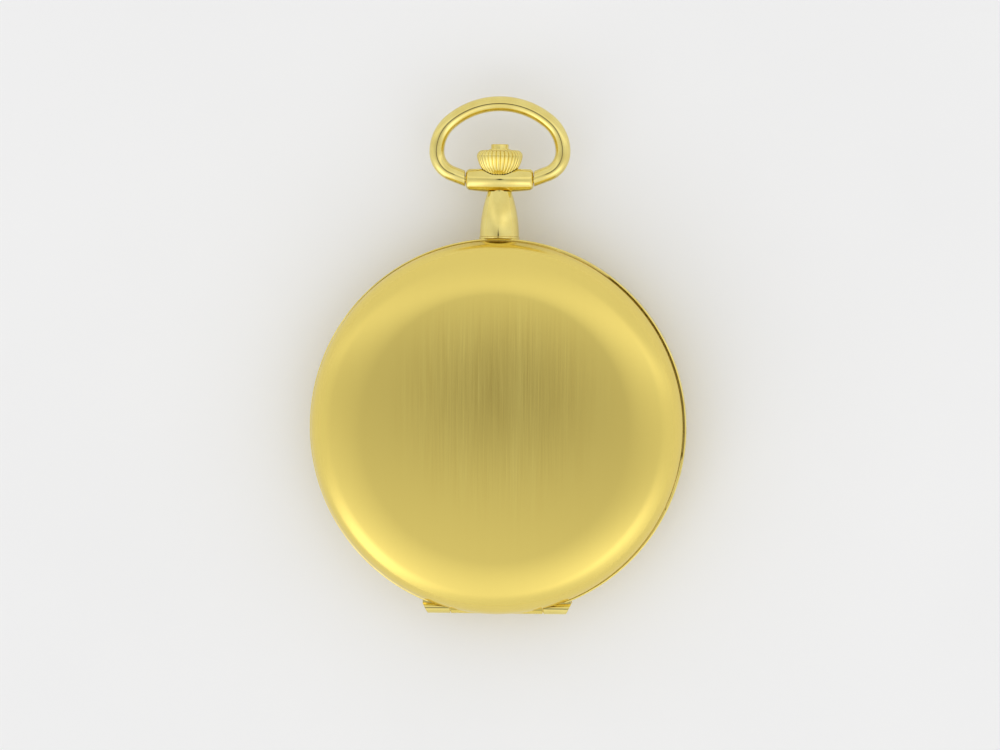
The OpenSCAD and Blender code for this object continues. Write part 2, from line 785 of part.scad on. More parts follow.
module winding_pinion() color(steel) on_stem(pinion_y0) {
    r = winding_m * winding_pinion_n / 2;
    linear_extrude(pinion_y1 - pinion_y0) wheel_outline(
        [for (i = [0 : winding_pinion_n - 1]) let (a = 90 + i * 360 / winding_pinion_n)
            each [
                polar(r - 0.26, a - 6.5), polar(r, a - 4.2), polar(r + 0.2, a - 2.4),
                polar(r + 0.2, a + 2.4), polar(r, a + 4.2), polar(r - 0.26, a + 6.5)
            ]],
        0, 0, 0, round_seat(clutch_r + 0.02), 0);
}

module sliding_pinion() color(steel) on_stem(slide_y0) difference() {
    union() {
        cylinder(h = 0.5, r = 1.45);
        cylinder(h = slide_y1 - slide_y0, r = 1.05);
        translate([0, 0, slide_y1 - slide_y0 - 0.45]) cylinder(h = 0.45, r = 1.45);
    }
    translate([-square_half - 0.02, -square_half - 0.02, -1])
        cube([2 * square_half + 0.04, 2 * square_half + 0.04, 6]);
    for (i = [0 : 9]) rotate([0, 0, i * 36 + 18]) translate([0.95, -0.13, -1]) cube([1, 0.26, 1.3]);
}

module latch() color(steel) {
    low = mid_z - 1.3;
    top = nose_z + nose_t;
    difference() {
        union() {
            translate([-latch_half, latch_y1 - latch_t, low]) cube([2 * latch_half, latch_t, top - low]);
            both_sides() translate([catch_x - catch_w / 2 + slack, latch_y1 - eps, nose_z])
                cube([catch_w - 2 * slack, catch_y - play - latch_y1 + eps, nose_t]);
        }
        along_y(latch_y1 - 2, latch_y1 + 2, stem_r + slack);
    }
}

// Springs in the band's groove: one leaf each side of the latch, and one behind the hinge
spring_t = 0.25;
spring_r = spring_bore - play - spring_t;

module spring_leaf(a1, a2, z1, z2) {
    translate([0, 0, z1]) rotate([0, 0, a1]) rotate_extrude(angle = a2 - a1)
        translate([spring_r, 0]) square([spring_t, z2 - z1]);
}

module latch_springs() color(steel) both_sides()
    spring_leaf(35, 90 - asin((latch_half + 0.3) / spring_r), mid_z - 0.9, mid_z + 0.9);

module lift_spring() color(steel) spring_leaf(-125, -55, mid_z - 0.9, front_seam - lip_h - 0.1);

// Crystal and its bezel
crystal_r = bezel_bore - bezel_w;
crystal_rim_z = seat_z + 1.26;
function crystal_rise(r) = crystal_dome - sqrt(crystal_dome * crystal_dome - r * r);
crystal_low = crystal_rim_z + 0.02 + crystal_rise(crystal_r);
bezel_in = crystal_r - 0.4;

module bezel() color(gold) rotate_extrude() polygon([
    [bezel_in, seat_z + dial_t + play],
    [ring_r + 0.05, seat_z + dial_t + play],
    [ring_r + 0.05, front_seam - 0.3],
    [bezel_bore - play / 2, front_seam - 0.3],
    [bezel_bore - play / 2, front_seam + 0.65],
    [crystal_r + 0.45, crystal_rim_z + 0.8],
    [crystal_r + 0.25, crystal_rim_z + crystal_t],
    [crystal_r + 0.05, crystal_rim_z + crystal_t],
    [crystal_r + 0.05, crystal_rim_z],
    [bezel_in, crystal_rim_z]
]);

module crystal() color([0.85, 0.9, 0.95, 0.4]) rotate_extrude() intersection() {
    translate([0, crystal_rim_z]) square([crystal_r, 3]);
    difference() {
        translate([0, crystal_low + crystal_t - crystal_dome]) circle(crystal_dome, $fn = arc_fn);
        translate([0, crystal_low - crystal_dome]) circle(crystal_dome, $fn = arc_fn);
    }
}

// Ring that holds the movement in the band, and the screws that hold the movement to it
screw_ring_r = plate_r + 0.95;
case_screw_angles = [35, 155, 275];

module movement_ring() color(brass) difference() {
    translate([0, 0, ledge_top + 0.02]) rotate_extrude() polygon([
        [plate_r + 0.1, 0],
        [ring_r, 0],
        [ring_r, seat_z - ledge_top - 0.09],
        [plate_r + 0.1, seat_z - ledge_top - 0.09]
    ]);
    translate([-latch_half - 0.4, 0, 0])
        translate([0, latch_y1 - latch_t - button_travel - 0.15, back_seam])
        cube([2 * latch_half + 0.8, 4, band_h]);
    along_y(plate_r - 2, ring_r + 2, stem_r + 0.2);
    for (a = case_screw_angles) rotate([0, 0, a]) {
        post([screw_ring_r, 0], 1.3, plate_t + 0.02, 5);
        post([screw_ring_r, 0], 0.5, plate_t - 1.2, 5);
    }
}

module case_screws() color(steel) for (a = case_screw_angles) rotate([0, 0, a]) {
    difference() {
        post([screw_ring_r, 0], 1.15, plate_t + 0.03, plate_t + 0.45);
        translate([screw_ring_r - 1.5, -0.12, seat_z - plate_t - 1.25]) cube([3, 0.24, 1]);
    }
    post([screw_ring_r, 0], 0.48, plate_t - 1.1, plate_t + 0.04);
}

// Dial and hands
dial_r = ring_r - 0.4;

module dial() color([0.96, 0.95, 0.92]) difference() {
    translate([0, 0, seat_z]) cylinder(h = dial_t, r = dial_r);
    translate([fourth_p[0], fourth_p[1], seat_z + dial_t - 0.12]) cylinder(h = 1, r = sub_r);
    post(centre_p, hour_tube_r + 0.25, -1, 1);
    post(fourth_p, 0.35, -1, 1);
}

module hour_markers() color(gold) for (i = [0 : 11]) if (i != 6)
    rotate([0, 0, -30 * i]) translate([0, dial_r - 2.8, seat_z + dial_t])
    translate([-0.18, -0.75, 0]) cube([0.36, 1.5, 0.15]);

// A leaf-shaped hand along +Y with a boss and a tail
module hand_outline(length, width, boss, bore, tail, neck) {
    difference() {
        union() {
            circle(boss);
            polygon([
                [-neck / 2, -tail], [neck / 2, -tail], [neck / 2, boss],
                [neck / 2, length * 0.3], [width / 2, length * 0.52], [width * 0.4, length * 0.66],
                [neck * 0.3, length * 0.93], [0, length],
                [-neck * 0.3, length * 0.93], [-width * 0.4, length * 0.66],
                [-width / 2, length * 0.52], [-neck / 2, length * 0.3], [-neck / 2, boss]
            ]);
        }
        circle(bore);
    }
}

module hour_hand() color(blue) rotate([0, 0, -shown_time / 2])
    slab(hour_hand_u, hour_hand_u + hand_t) hand_outline(hour_len, 1.7, 1.6, hour_tube_r, 0, 0.5);

module minute_hand() color(blue) rotate([0, 0, -shown_time * 6])
    slab(minute_hand_u, minute_hand_u + hand_t) hand_outline(minute_len, 1.3, 1.15, 0.55, 0, 0.42);

module seconds_hand() color(blue) translate(fourth_p)
    rotate([0, 0, -216]) slab(second_hand_u, second_hand_u + hand_t * 0.8)
    hand_outline(second_len, 0.3, 0.36, post_r - 0.02, 1.4, 0.14);

// Movement plates
module round_hole(p, r) { translate(p) circle(r); }

train_points = [centre_p, third_p, fourth_p, escape_p];
// Angle of each plate screw, and its distance from the plate's edge
screw_places = [
    [156.8, 2.1], [112, 2.2], [56.9, 2.55], [200.3, 2.7], [241, 2.6], [298.2, 2.2], [13.1, 3.3]
];
plate_screws = [for (s = screw_places) polar(plate_r - s[1], s[0])];

module main_plate() color(nickel) difference() {
    slab(0, plate_t) circle(plate_r);
    slab(-1, 0.9) union() {
        round_hole(minute_p, 3.1);
        round_hole(centre_p, 3.15);
        round_hole(setting_p, 2.2);
        translate([-0.8, 4.5]) square([9, 11]);
    }
    slab(plate_t - 0.95, plate_t + 1) round_hole(barrel_p, 7);
    slab(-1, plate_t + 1) union() {
        round_hole(centre_p, centre_post_r + 0.05);
        translate(setting_pin_p - [0.5, 0.5]) square([1, crown_travel + 1]);
        translate([-keyless_half, stem_end - 0.4])
            square([2 * keyless_half, pinion_y1 - stem_end + 0.5]);
    }
    slab(plate_t - 0.95, plate_t + 1) round_hole(centre_p, 1.3);
    along_y(stem_end, plate_r + 1, stem_r + slack);
    for (p = [third_p, fourth_p, escape_p, pallet_p, balance_p])
        post(p, jewel_r, lower_jewel_u, plate_t + 1);
    post(fourth_p, 0.3, -1, 3);
    for (p = [third_p, escape_p, pallet_p, balance_p]) post(p, 0.3, 0.9, 3);
    post(barrel_p, 0.75, 0.4, 3);
    for (p = plate_screws) post(p, 0.4, 0.5, 3);
}

// Regions of the back side: the balance's cut-out and the lines between the bridges
module balance_room(r) { translate(balance_p) circle(r); }

module barrel_bridge_outline() intersection() {
    circle(bridge_r);
    polygon([
        [-bridge_far, -2.6], [-3.4, -0.9], [-2.1, 1.9], [0, 2.6], [2.1, 1.9], [4, 0.4],
        [9, 1.2], [10.6, 5.6], [bridge_far, 8.4], [bridge_far, bridge_far], [-bridge_far, bridge_far]
    ]);
}

module train_bridge_outline() difference() {
    intersection() {
        circle(bridge_r);
        train_bridge_field();
    }
    balance_room(balance_r + 0.35);
}

module train_bridge_field() polygon([
    [-bridge_far, -2.6 - bridge_gap], [-3.2, -0.9 - bridge_gap], [-1.7, 1.6],
    [0, 2.6 - bridge_gap], [1.7, 1.6], [3.7, -0.1], [6.2, 0], [6.2, -8], [10.4, -10],
    [12.6, -bridge_far], [-bridge_far, -bridge_far]
]);

module wall_ring() difference() {
    circle(bridge_r);
    circle(bridge_r - 1.1);
}

module screw_feet(list) for (i = list) translate(plate_screws[i]) circle(1.35);

module screw_holes(list) for (i = list) {
    post(plate_screws[i], 0.4, 0, 6);
    post(plate_screws[i], 1.0, bridge_end - 0.3, 6);
}

module barrel_bridge() color(nickel) difference() {
    union() {
        slab(bridge_u, bridge_end) barrel_bridge_outline();
        slab(plate_t, bridge_u + eps) intersection() {
            barrel_bridge_outline();
            union() {
                wall_ring();
                screw_feet([0, 1, 2]);
            }
        }
    }
    slab(0, 6) round_hole(crown_wheel_p, 4.1);
    slab(0, 6) round_hole(barrel_p, 0.95);
    slab(0, 6) round_hole(click_p, screw_r + play);
    slab(0, stem_u + pinion_tip + slack) translate([-keyless_half, winding_y - 1])
        square([2 * keyless_half, pinion_y1 - winding_y + 1.2]);
    along_y(pinion_y1, plate_r + 1, stem_r + slack);
    screw_holes([0, 1, 2]);
}

module train_bridge() color(nickel) difference() {
    union() {
        slab(bridge_u, bridge_end) train_bridge_outline();
        slab(plate_t, bridge_u + eps) intersection() {
            train_bridge_outline();
            union() {
                wall_ring();
                screw_feet([3, 4, 5]);
            }
        }
    }
    for (p = train_points) post(p, jewel_r, 0, 6);
    screw_holes([3, 4, 5]);
}

module balance_cock() color(nickel) {
    foot_p = plate_screws[6];
    difference() {
        union() {
            slab(cock_u, cock_u + cock_t) union() {
                round_hole(balance_p, 2.1);
                round_hole(foot_p, 2);
                polygon([
                    balance_p + [-1.9, 0.9], balance_p + [1.9, -0.9],
                    foot_p + [2, 0.3], foot_p + [-1.9, 0.6]
                ]);
            }
            slab(plate_t, cock_u + eps) difference() {
                round_hole(foot_p, 2);
                balance_room(balance_r + 0.35);
            }
        }
        post(balance_p, jewel_r, 0, 7);
        post(foot_p, 0.4, 0, 7);
        post(foot_p, 1.0, cock_u + cock_t - 0.3, 7);
        post(stud_p, stud_r + 0.005, 0, 7);
    }
}

pallet_axis = angle_of(escape_p, balance_p);
pallet_feet = [pallet_p + polar(2.6, pallet_axis - 90), pallet_p + polar(2.6, pallet_axis + 90)];
pallet_bridge_u = plate_t + 1.05;

module pallet_bridge() color(nickel) difference() {
    union() {
        slab(pallet_bridge_u, pallet_bridge_u + 0.22) union() {
            for (p = pallet_feet) round_hole(p, 0.75);
            translate(pallet_p) rotate(pallet_axis) square([1.3, 5.2], center = true);
        }
        for (p = pallet_feet) post(p, 0.75, plate_t, pallet_bridge_u + eps);
    }
    post(pallet_p, pivot_r + play, 0, 6);
}

module slotted_screw(p, head_r, u1, head_u, u2, turn) {
    difference() {
        post(p, head_r, head_u, u2);
        translate([p[0], p[1], seat_z - u2]) rotate([0, 0, turn])
            cube([3 * head_r, 0.2, 0.3], center = true);
    }
    post(p, screw_r, u1, head_u + eps);
}

module bridge_screws() color(steel) {
    for (i = [0 : 5])
        slotted_screw(plate_screws[i], 0.95, 0.7, bridge_end - 0.28, bridge_end + 0.12, i * 37);
    slotted_screw(plate_screws[6], 0.95, 0.7, cock_u + cock_t - 0.28, cock_u + cock_t + 0.1, 20);
    for (p = pallet_feet) difference() {
        post(p, 0.45, pallet_bridge_u + 0.23, pallet_bridge_u + 0.3);
        translate([p[0], p[1], seat_z - pallet_bridge_u - 0.3]) cube([2, 0.12, 0.06], center = true);
    }
}

module jewel(p, u, bore) difference() {
    post(p, jewel_r - 0.005, u, u + jewel_t);
    post(p, bore, u - 1, u + 1);
}

module jewels() color(ruby) {
    for (p = [third_p, escape_p, pallet_p, balance_p]) jewel(p, lower_jewel_u, jewel_bore);
    jewel(fourth_p, lower_jewel_u, post_r + play);
    for (p = train_points) jewel(p, upper_jewel_u, jewel_bore);
    jewel(balance_p, cock_u + 0.05, jewel_bore);
}

// Barrel and winding wheels
module barrel() color(brass) translate(barrel_p) slab(barrel_u, barrel_u + barrel_floor)
    wheel_outline(tooth_points(barrel_n, barrel_m, 0, 0.44, 0.9, 1.3), 0, 0, 0, 0.9, 0);

module barrel_drum() color(brass) translate(barrel_p) {
    slab(barrel_u + barrel_floor, barrel_u + barrel_h) difference() {
        circle(barrel_drum_r);
        circle(barrel_drum_r - 0.45);
    }
    slab(barrel_u + barrel_h - eps, barrel_u + barrel_h + 0.15) difference() {
        circle(barrel_drum_r);
        circle(0.9);
    }
}

spring_turns = 9;
spring_in = 1.5;
spring_out = barrel_drum_r - 0.7;

// Outline of a flat spiral strip
function spiral(r1, r2, turns, width, steps) = concat(
    [for (i = [0 : steps]) polar(r1 + (r2 - r1) * i / steps, 360 * turns * i / steps)],
    [for (i = [steps : -1 : 0]) polar(r1 + width + (r2 - r1) * i / steps, 360 * turns * i / steps)]
);

module mainspring() color(steel) translate(barrel_p)
    slab(barrel_u + 0.4, barrel_u + barrel_h - 0.1)
    polygon(spiral(spring_in, spring_out, spring_turns, 0.12, spring_turns * 24));

module barrel_arbor() color(steel) difference() {
    union() {
        post(barrel_p, 0.7, barrel_u - 0.6, barrel_u - 0.05);
        post(barrel_p, 0.85, barrel_u - 0.06, wheel_top_u);
        post(barrel_p, 1.3, barrel_u + 0.45, barrel_u + barrel_h - 0.1);
        translate([barrel_p[0] - 0.55, barrel_p[1] - 0.55, seat_z - wheel_top_u - 0.35])
            cube([1.1, 1.1, 0.36]);
    }
    post(barrel_p, screw_r, wheel_top_u - 0.6, 7);
}

module ratchet_wheel() color(steel) translate(barrel_p) difference() {
    slab(wheel_top_u, wheel_top_u + 0.35)
        wheel_outline(tooth_points(ratchet_n, winding_m, ratchet_phase, 0.42, 0.8, 1.2),
            0, 0, 0, 0.95, 0);
}

module ratchet_screw() color(steel) {
    slotted_screw(barrel_p, 1.5, wheel_top_u - 0.3, wheel_top_u + 0.37, wheel_top_u + 0.6, 35);
}

module crown_wheel() color(steel) translate(crown_wheel_p)
    slab(crown_wheel_u, crown_wheel_end)
    wheel_outline(tooth_points(crown_wheel_n, winding_m, crown_wheel_phase, 0.4, 0.8, 1.2),
        0, 0, 0, round_seat(0.9 + play), 0);

module crown_wheel_core() color(steel) {
    post(crown_wheel_p, 0.9, plate_t, crown_wheel_end + 0.05);
    slotted_screw(crown_wheel_p, 1.6, crown_wheel_end, crown_wheel_end + 0.04, crown_wheel_end + 0.25, 80);
}

ratchet_tip = winding_m * ratchet_n / 2 + 0.8 * winding_m;
click_dir = angle_of(click_p, barrel_p);

module click() color(steel) {
    nose = ratchet_tip + 0.04;
    slab(wheel_top_u, wheel_top_u + 0.3) difference() {
        union() {
            round_hole(click_p, 0.85);
            polygon([
                click_p + polar(0.85, click_dir - 90), click_p + polar(0.8, click_dir + 60),
                barrel_p + polar(nose, 111), barrel_p + polar(nose + 0.5, 119)
            ]);
        }
        round_hole(click_p, screw_r);
    }
    slotted_screw(click_p, 0.6, bridge_u + 0.05, wheel_top_u + 0.32, wheel_top_u + 0.45, 10);
}

module click_spring() color(steel) slab(wheel_top_u, wheel_top_u + 0.2) translate(click_p)
    polygon(concat(
        [for (i = [0 : 12]) polar(1.1 + i * 0.09, click_dir + 150 + i * 8)],
        [for (i = [12 : -1 : 0]) polar(1.25 + i * 0.1, click_dir + 150 + i * 8)]
    ));

// Going train
module arbor(p, lower_r, upper_r, body_r) {
    post(p, lower_r, lower_jewel_u + 0.02, plate_t + 0.05);
    post(p, body_r, plate_t + 0.04, bridge_u - 0.04);
    post(p, upper_r, bridge_u - 0.05, upper_jewel_u + jewel_t - 0.02);
}

module centre_wheel() color(brass) {
    slab(centre_u, centre_u + wheel_t) wheel(centre_n, centre_m, 0, 5, 1.3, round_seat(0.5));
    slab(plate_t - 0.88, centre_u - 0.05) leaves(centre_pinion_n, barrel_m, centre_pinion_phase,
        round_seat(0.5));
    post(centre_p, 0.5, plate_t - 0.9, bridge_u - 0.04);
    post(centre_p, centre_post_r, minute_hand_u - 0.05, plate_t - 0.89);
    post(centre_p, pivot_r, bridge_u - 0.05, upper_jewel_u + jewel_t - 0.02);
}

module third_wheel() color(brass) {
    translate(third_p) {
        slab(third_u, third_u + wheel_t) wheel(third_n, third_m, 0, 5, 1.1, round_seat(staff_r));
        slab(plate_t + 0.75, third_u - 0.04) leaves(third_pinion_n, centre_m, third_pinion_phase,
            round_seat(staff_r));
    }
    arbor(third_p, pivot_r, pivot_r, staff_r);
}

module fourth_wheel() color(brass) {
    translate(fourth_p) {
        slab(fourth_u, fourth_u + wheel_t) wheel(fourth_n, fourth_m, 0, 5, 0.9, round_seat(staff_r));
        slab(third_u - 0.05, bridge_u - 0.05) leaves(fourth_pinion_n, third_m, fourth_pinion_phase,
            round_seat(staff_r));
    }
    post(fourth_p, post_r - 0.02, second_hand_u - 0.04, plate_t + 0.05);
    post(fourth_p, staff_r, plate_t + 0.04, bridge_u - 0.04);
    post(fourth_p, pivot_r, bridge_u - 0.05, upper_jewel_u + jewel_t - 0.02);
}

// The escape wheel's club teeth lean forward
escape_points = [for (i = [0 : escape_n - 1]) let (a = i * 360 / escape_n)
    each [
        polar(escape_r - 0.62, a - 4), polar(escape_r - 0.1, a + 3.4), polar(escape_r, a + 7.5),
        polar(escape_r - 0.3, a + 5.6), polar(escape_r - 0.62, a + 6)
    ]];

module escape_wheel() color(steel) {
    translate(escape_p) {
        slab(escape_u, escape_u + wheel_t)
            wheel_outline(escape_points, 4, escape_r - 0.95, 0.55, round_seat(staff_r * 0.8), 0.24);
        slab(plate_t + 0.2, escape_u - 0.05)
            leaves(escape_pinion_n, fourth_m, escape_pinion_phase, round_seat(staff_r * 0.8));
    }
    arbor(escape_p, pivot_r, pivot_r, staff_r * 0.8);
}

// The fork's stones stop clear of the escape wheel and its horns clear of the impulse stone
fork_len = norm(balance_p - pallet_p) - roller_r - impulse_r - play;

module pallet_fork() color(steel) {
    stone_r = escape_r + 0.17;
    translate(pallet_p) rotate([0, 0, pallet_axis]) slab(escape_u, escape_u + wheel_t) difference() {
        union() {
            circle(0.42);
            polygon([
                [0, -0.16], [fork_len - 0.75, -0.12], [fork_len - 0.3, -0.42], [fork_len, -0.42],
                [fork_len - 0.14, -0.22], [fork_len - 0.34, -0.16], [fork_len - 0.34, 0.16],
                [fork_len - 0.14, 0.22], [fork_len, 0.42], [fork_len - 0.3, 0.42],
                [fork_len - 0.75, 0.12], [0, 0.16]
            ]);
            for (s = [-1, 1]) polygon([
                [0.2, 0], [-0.2, s * 0.4], [-1.15, s * 1.75], [-1.4, s * 2.05],
                [-1.05, s * 2.2], [-0.75, s * 1.85], [0.1, s * 0.6]
            ]);
        }
        circle(round_seat(0.2), $fn = 12);
    }
    for (s = [-1, 1]) translate(escape_p) rotate([0, 0, pallet_axis + s * 48])
        translate([stone_r, -0.12, seat_z - escape_u - wheel_t - 0.24]) color(ruby) cube([0.24, 0.24, 0.22]);
    post(pallet_p, pivot_r, lower_jewel_u + 0.02, plate_t + 0.05);
    post(pallet_p, 0.2, plate_t + 0.04, pallet_bridge_u - 0.03);
    post(pallet_p, pivot_r, pallet_bridge_u - 0.04, pallet_bridge_u + 0.2);
}

// Balance
balance_t = 0.4;

module balance_wheel() color(brass) {
    slab(balance_u, balance_u + balance_t) translate(balance_p) difference() {
        union() {
            difference() {
                circle(balance_r);
                circle(balance_r - 0.5);
            }
            rotate(20) square([2 * balance_r - 0.6, 0.7], center = true);
            circle(0.9);
        }
        circle(0.35);
    }
    post(balance_p, 0.35, plate_t + 0.3, cock_u - 0.1);
    post(balance_p, pivot_r, lower_jewel_u + 0.02, plate_t + 0.31);
    post(balance_p, pivot_r, cock_u - 0.11, cock_u + 0.3);
    post(balance_p, roller_r + 0.35, balance_u - 0.28, balance_u - 0.1);
    post(balance_p, hair_in - 0.15, hair_u - 0.05, hair_u + 0.18);
    translate(balance_p) rotate([0, 0, pallet_axis + 180])
        translate([roller_r, 0, seat_z - balance_u + 0.27]) color(ruby)
        cylinder(h = 0.35, r = impulse_r);
}

hair_turns = 5;
hair_in = 0.8;
hair_out = 3.4;
hair_u = balance_u + balance_t + 0.1;
stud_angle = 62;
stud_r = 0.32;
stud_p = balance_p + polar(hair_out + 0.1 + stud_r, stud_angle);

module hairspring() color(blue) translate(balance_p) slab(hair_u, hair_u + 0.14)
    rotate(stud_angle) polygon(spiral(hair_in, hair_out, hair_turns, 0.08, hair_turns * 24));

module hairspring_stud() color(steel) post(stud_p, stud_r, hair_u - 0.02, cock_u + cock_t);

module regulator() color(steel) slab(cock_u + cock_t + 0.02, cock_u + cock_t + 0.16)
    translate(balance_p) difference() {
        union() {
            circle(1.15);
            rotate(stud_angle + 60) polygon([[0.8, -0.3], [4.3, -0.08], [4.3, 0.08], [0.8, 0.3]]);
            rotate(stud_angle - 20) polygon([[0.8, -0.25], [2, -0.12], [2, 0.12], [0.8, 0.25]]);
        }
        circle(jewel_r + 0.1);
    }

// Motion work under the dial
module cannon_pinion() color(steel) {
    slab(0.42, 0.85) leaves(cannon_n, motion_m, 0, round_seat(0.4));
    difference() {
        union() {
            post(centre_p, cannon_r, minute_hand_u + hand_t, 0.4);
            post(centre_p, 0.55, minute_hand_u, minute_hand_u + hand_t + eps);
        }
        post(centre_p, centre_post_r + eps, -3, 3);
    }
}

module hour_wheel() color(brass) {
    slab(0.12, 0.34) wheel_outline(tooth_points(hour_n, hour_m, hour_phase, 0.44, 0.9, 1.3),
        0, 0, 0, hour_tube_r / cos(15) + 0.02, 0);
    difference() {
        post(centre_p, hour_tube_r, hour_hand_u, 0.34);
        post(centre_p, cannon_r + 0.05, -3, 3);
    }
}

module minute_wheel() color(brass) translate(minute_p) {
    slab(0.52, 0.72) wheel_outline(tooth_points(minute_n, motion_m, minute_phase, 0.44, 0.9, 1.3),
        0, 0, 0, round_seat(0.32), 0);
    slab(0.05, 0.48) leaves(minute_pinion_n, hour_m, 0, round_seat(0.32));
    post([0, 0], 0.32, 0.05, 0.85);
}

module setting_wheel() color(steel) translate(setting_p) {
    slab(0.5, 0.75) wheel_outline(tooth_points(setting_n, motion_m, setting_phase, 0.44, 0.9, 1.3),
        0, 0, 0, round_seat(0.4), 0);
    post([0, 0], 0.4, 0.3, 0.85);
}

module setting_lever() color(steel) {
    slab(0.35, 0.65) difference() {
        union() {
            round_hole(lever_p, 0.8);
            round_hole(setting_pin_p, 0.45);
            polygon([
                lever_p + [-0.2, 0.7], setting_pin_p + [0.1, 0.4],
                setting_pin_p + [0.1, -0.4], lever_p + [-0.5, -0.6]
            ]);
            polygon([lever_p + [-0.5, 0], lever_p + [0.7, -0.2], lever_p + [2.2, -4.4],
                lever_p + [1.6, -4.5]]);
        }
        round_hole(lever_p, 0.3);
    }
    post(setting_pin_p, 0.22, 0.64, stem_u - clutch_r - 0.1);
}

module yoke() color(steel) slab(0.35, 0.65) difference() {
    groove_y = (slide_y0 + slide_y1) / 2;
    union() {
        round_hole(yoke_p, 0.75);
        polygon([
            yoke_p + [-0.55, 0.4], [3, groove_y - 0.5], [0, groove_y - 0.22], [0, groove_y + 0.22],
            [3.4, groove_y + 0.2], yoke_p + [0.55, 0.45]
        ]);
    }
    round_hole(yoke_p, 0.3);
}

case_band();
front_cover();
back_cover();
dust_cover();
front_hinge_pin();
back_hinge_pin();
pendant_neck();
pendant_head();
bow();
crown();
crown_button();
winding_stem();
winding_pinion();
sliding_pinion();
latch();
latch_springs();
lift_spring();
bezel();
crystal();
movement_ring();
case_screws();
dial();
hour_markers();
hour_hand();
minute_hand();
seconds_hand();
main_plate();
barrel_bridge();
train_bridge();
balance_cock();
pallet_bridge();
bridge_screws();
jewels();
barrel();
barrel_drum();
mainspring();
barrel_arbor();
ratchet_wheel();
ratchet_screw();
crown_wheel();
crown_wheel_core();
click();
click_spring();
centre_wheel();
third_wheel();
fourth_wheel();
escape_wheel();
pallet_fork();
balance_wheel();
hairspring();
hairspring_stud();
regulator();
cannon_pinion();
hour_wheel();
minute_wheel();
setting_wheel();
setting_lever();
yoke();
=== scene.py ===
import bpy
import bmesh
import json
import math
from mathutils import Matrix, Vector

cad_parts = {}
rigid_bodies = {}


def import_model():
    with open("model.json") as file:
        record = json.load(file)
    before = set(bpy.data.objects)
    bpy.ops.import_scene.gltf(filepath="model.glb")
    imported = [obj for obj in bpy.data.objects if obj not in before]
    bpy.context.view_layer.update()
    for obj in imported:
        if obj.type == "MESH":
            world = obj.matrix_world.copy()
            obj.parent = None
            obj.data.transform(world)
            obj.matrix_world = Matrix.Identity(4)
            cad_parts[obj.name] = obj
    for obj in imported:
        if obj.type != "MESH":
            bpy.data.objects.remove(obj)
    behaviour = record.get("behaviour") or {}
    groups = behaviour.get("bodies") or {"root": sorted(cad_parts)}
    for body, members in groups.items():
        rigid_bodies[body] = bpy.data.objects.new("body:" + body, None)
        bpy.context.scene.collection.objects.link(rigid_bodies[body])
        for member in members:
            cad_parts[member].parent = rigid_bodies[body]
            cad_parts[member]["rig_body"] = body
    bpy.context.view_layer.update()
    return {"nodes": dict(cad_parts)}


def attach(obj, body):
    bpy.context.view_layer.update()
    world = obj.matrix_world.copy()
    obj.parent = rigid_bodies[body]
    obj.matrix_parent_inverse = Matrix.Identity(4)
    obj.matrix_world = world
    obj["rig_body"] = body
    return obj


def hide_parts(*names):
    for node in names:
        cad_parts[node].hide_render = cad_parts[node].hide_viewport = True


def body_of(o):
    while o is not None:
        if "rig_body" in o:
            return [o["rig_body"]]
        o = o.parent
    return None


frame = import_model()

# One millimetre in metres, and the steps round a large turned form
MM = 0.001
ROUND = 256

# Sizes of the watch, in millimetres and degrees: case and covers
CASE_R = 25.0
BAND_H = 4.1
COVER_R = 24.85
COVER_T = 0.75
DOME_R = 240.0
HAUNCH = (25.0, 14.0)
SHOULDER_R = 4.0
RIM_ANGLE = 78.0
RIM_LAND = 1.55
RIM_H = 0.6
FOOT_R = 11.0
SPRING_BORE = 22.6
BEZEL_BORE = 22.3
RING_R = 21.9
LEDGE_R = 21.0
LEDGE_T = 0.5
FLANGE_R = 22.1
DUST_R = 21.2
DUST_T = 0.4
SEAM_LIP = 0.22
SEAM_W = 0.24
SEAM_DEPTH = 0.7
SEAM_TURN = 0.4

# Catches and hinges
CATCH_X = 2.6
CATCH_HALF = 0.5
CATCH_Y = SPRING_BORE - 0.15
HINGE_R = 0.75
PIN_R = 0.35
HINGE_Y = -24.05
AXIS_IN = 0.95
NOTCH_Y = HINGE_Y + HINGE_R + 0.15
HINGE_END = 9.95
HINGE_SLANT = 0.75
MIDDLE_X = 2.0
LEAF_X = (2.1, 6.1)
FIXED_X = (6.2, HINGE_END)

# Pendant and bow
NECK_R = 2.62
NECK_ARC = 19.0
NECK_LEN = 6.2
STEM_BORE = 0.85
SPIGOT_R = 1.25
COLLAR_R = 2.7
COLLAR_H = 0.2
BOW_AXIS = 32.78
HEAD_R = 1.68
HEAD_END_R = 1.41
HEAD_HALF = 4.5
HEAD_CORNER = 0.6
HEAD_TOP = BOW_AXIS + 1.4
BOW_PIN_R = 0.45
WIRE_R = 1.0
BOW_HALF = 8.38
BOW_RISE = 10.05
BOW_WAIST = 3.7
BOW_SIDE_R = 5.2
BOW_LOW_R = 3.1
BOW_SLOPE = 20.5

# Crown and button
CROWN_Y = BOW_AXIS + 0.65
CROWN_BASE_R = 1.7
CROWN_R = 3.04
CROWN_EDGE_R = 0.8
CROWN_BELLY = 2.45
CROWN_H = CROWN_BELLY + CROWN_EDGE_R
CROWN_TOP = CROWN_Y + CROWN_H
CROWN_BORE = 0.755
BOWL_R = 4.0
RIBS = 32
RIB_DEPTH = 0.62
RIB_POWER = 3.2
RING_OUT_R = 1.46
RING_H = 0.14
BUTTON_R = 1.18
BUTTON_OUT = 0.78
BUTTON_SEAT = CROWN_TOP - 1.3
ROD_R = 0.35
ROD_PIN_R = 0.2
ROD_PIN_Y = 22.6

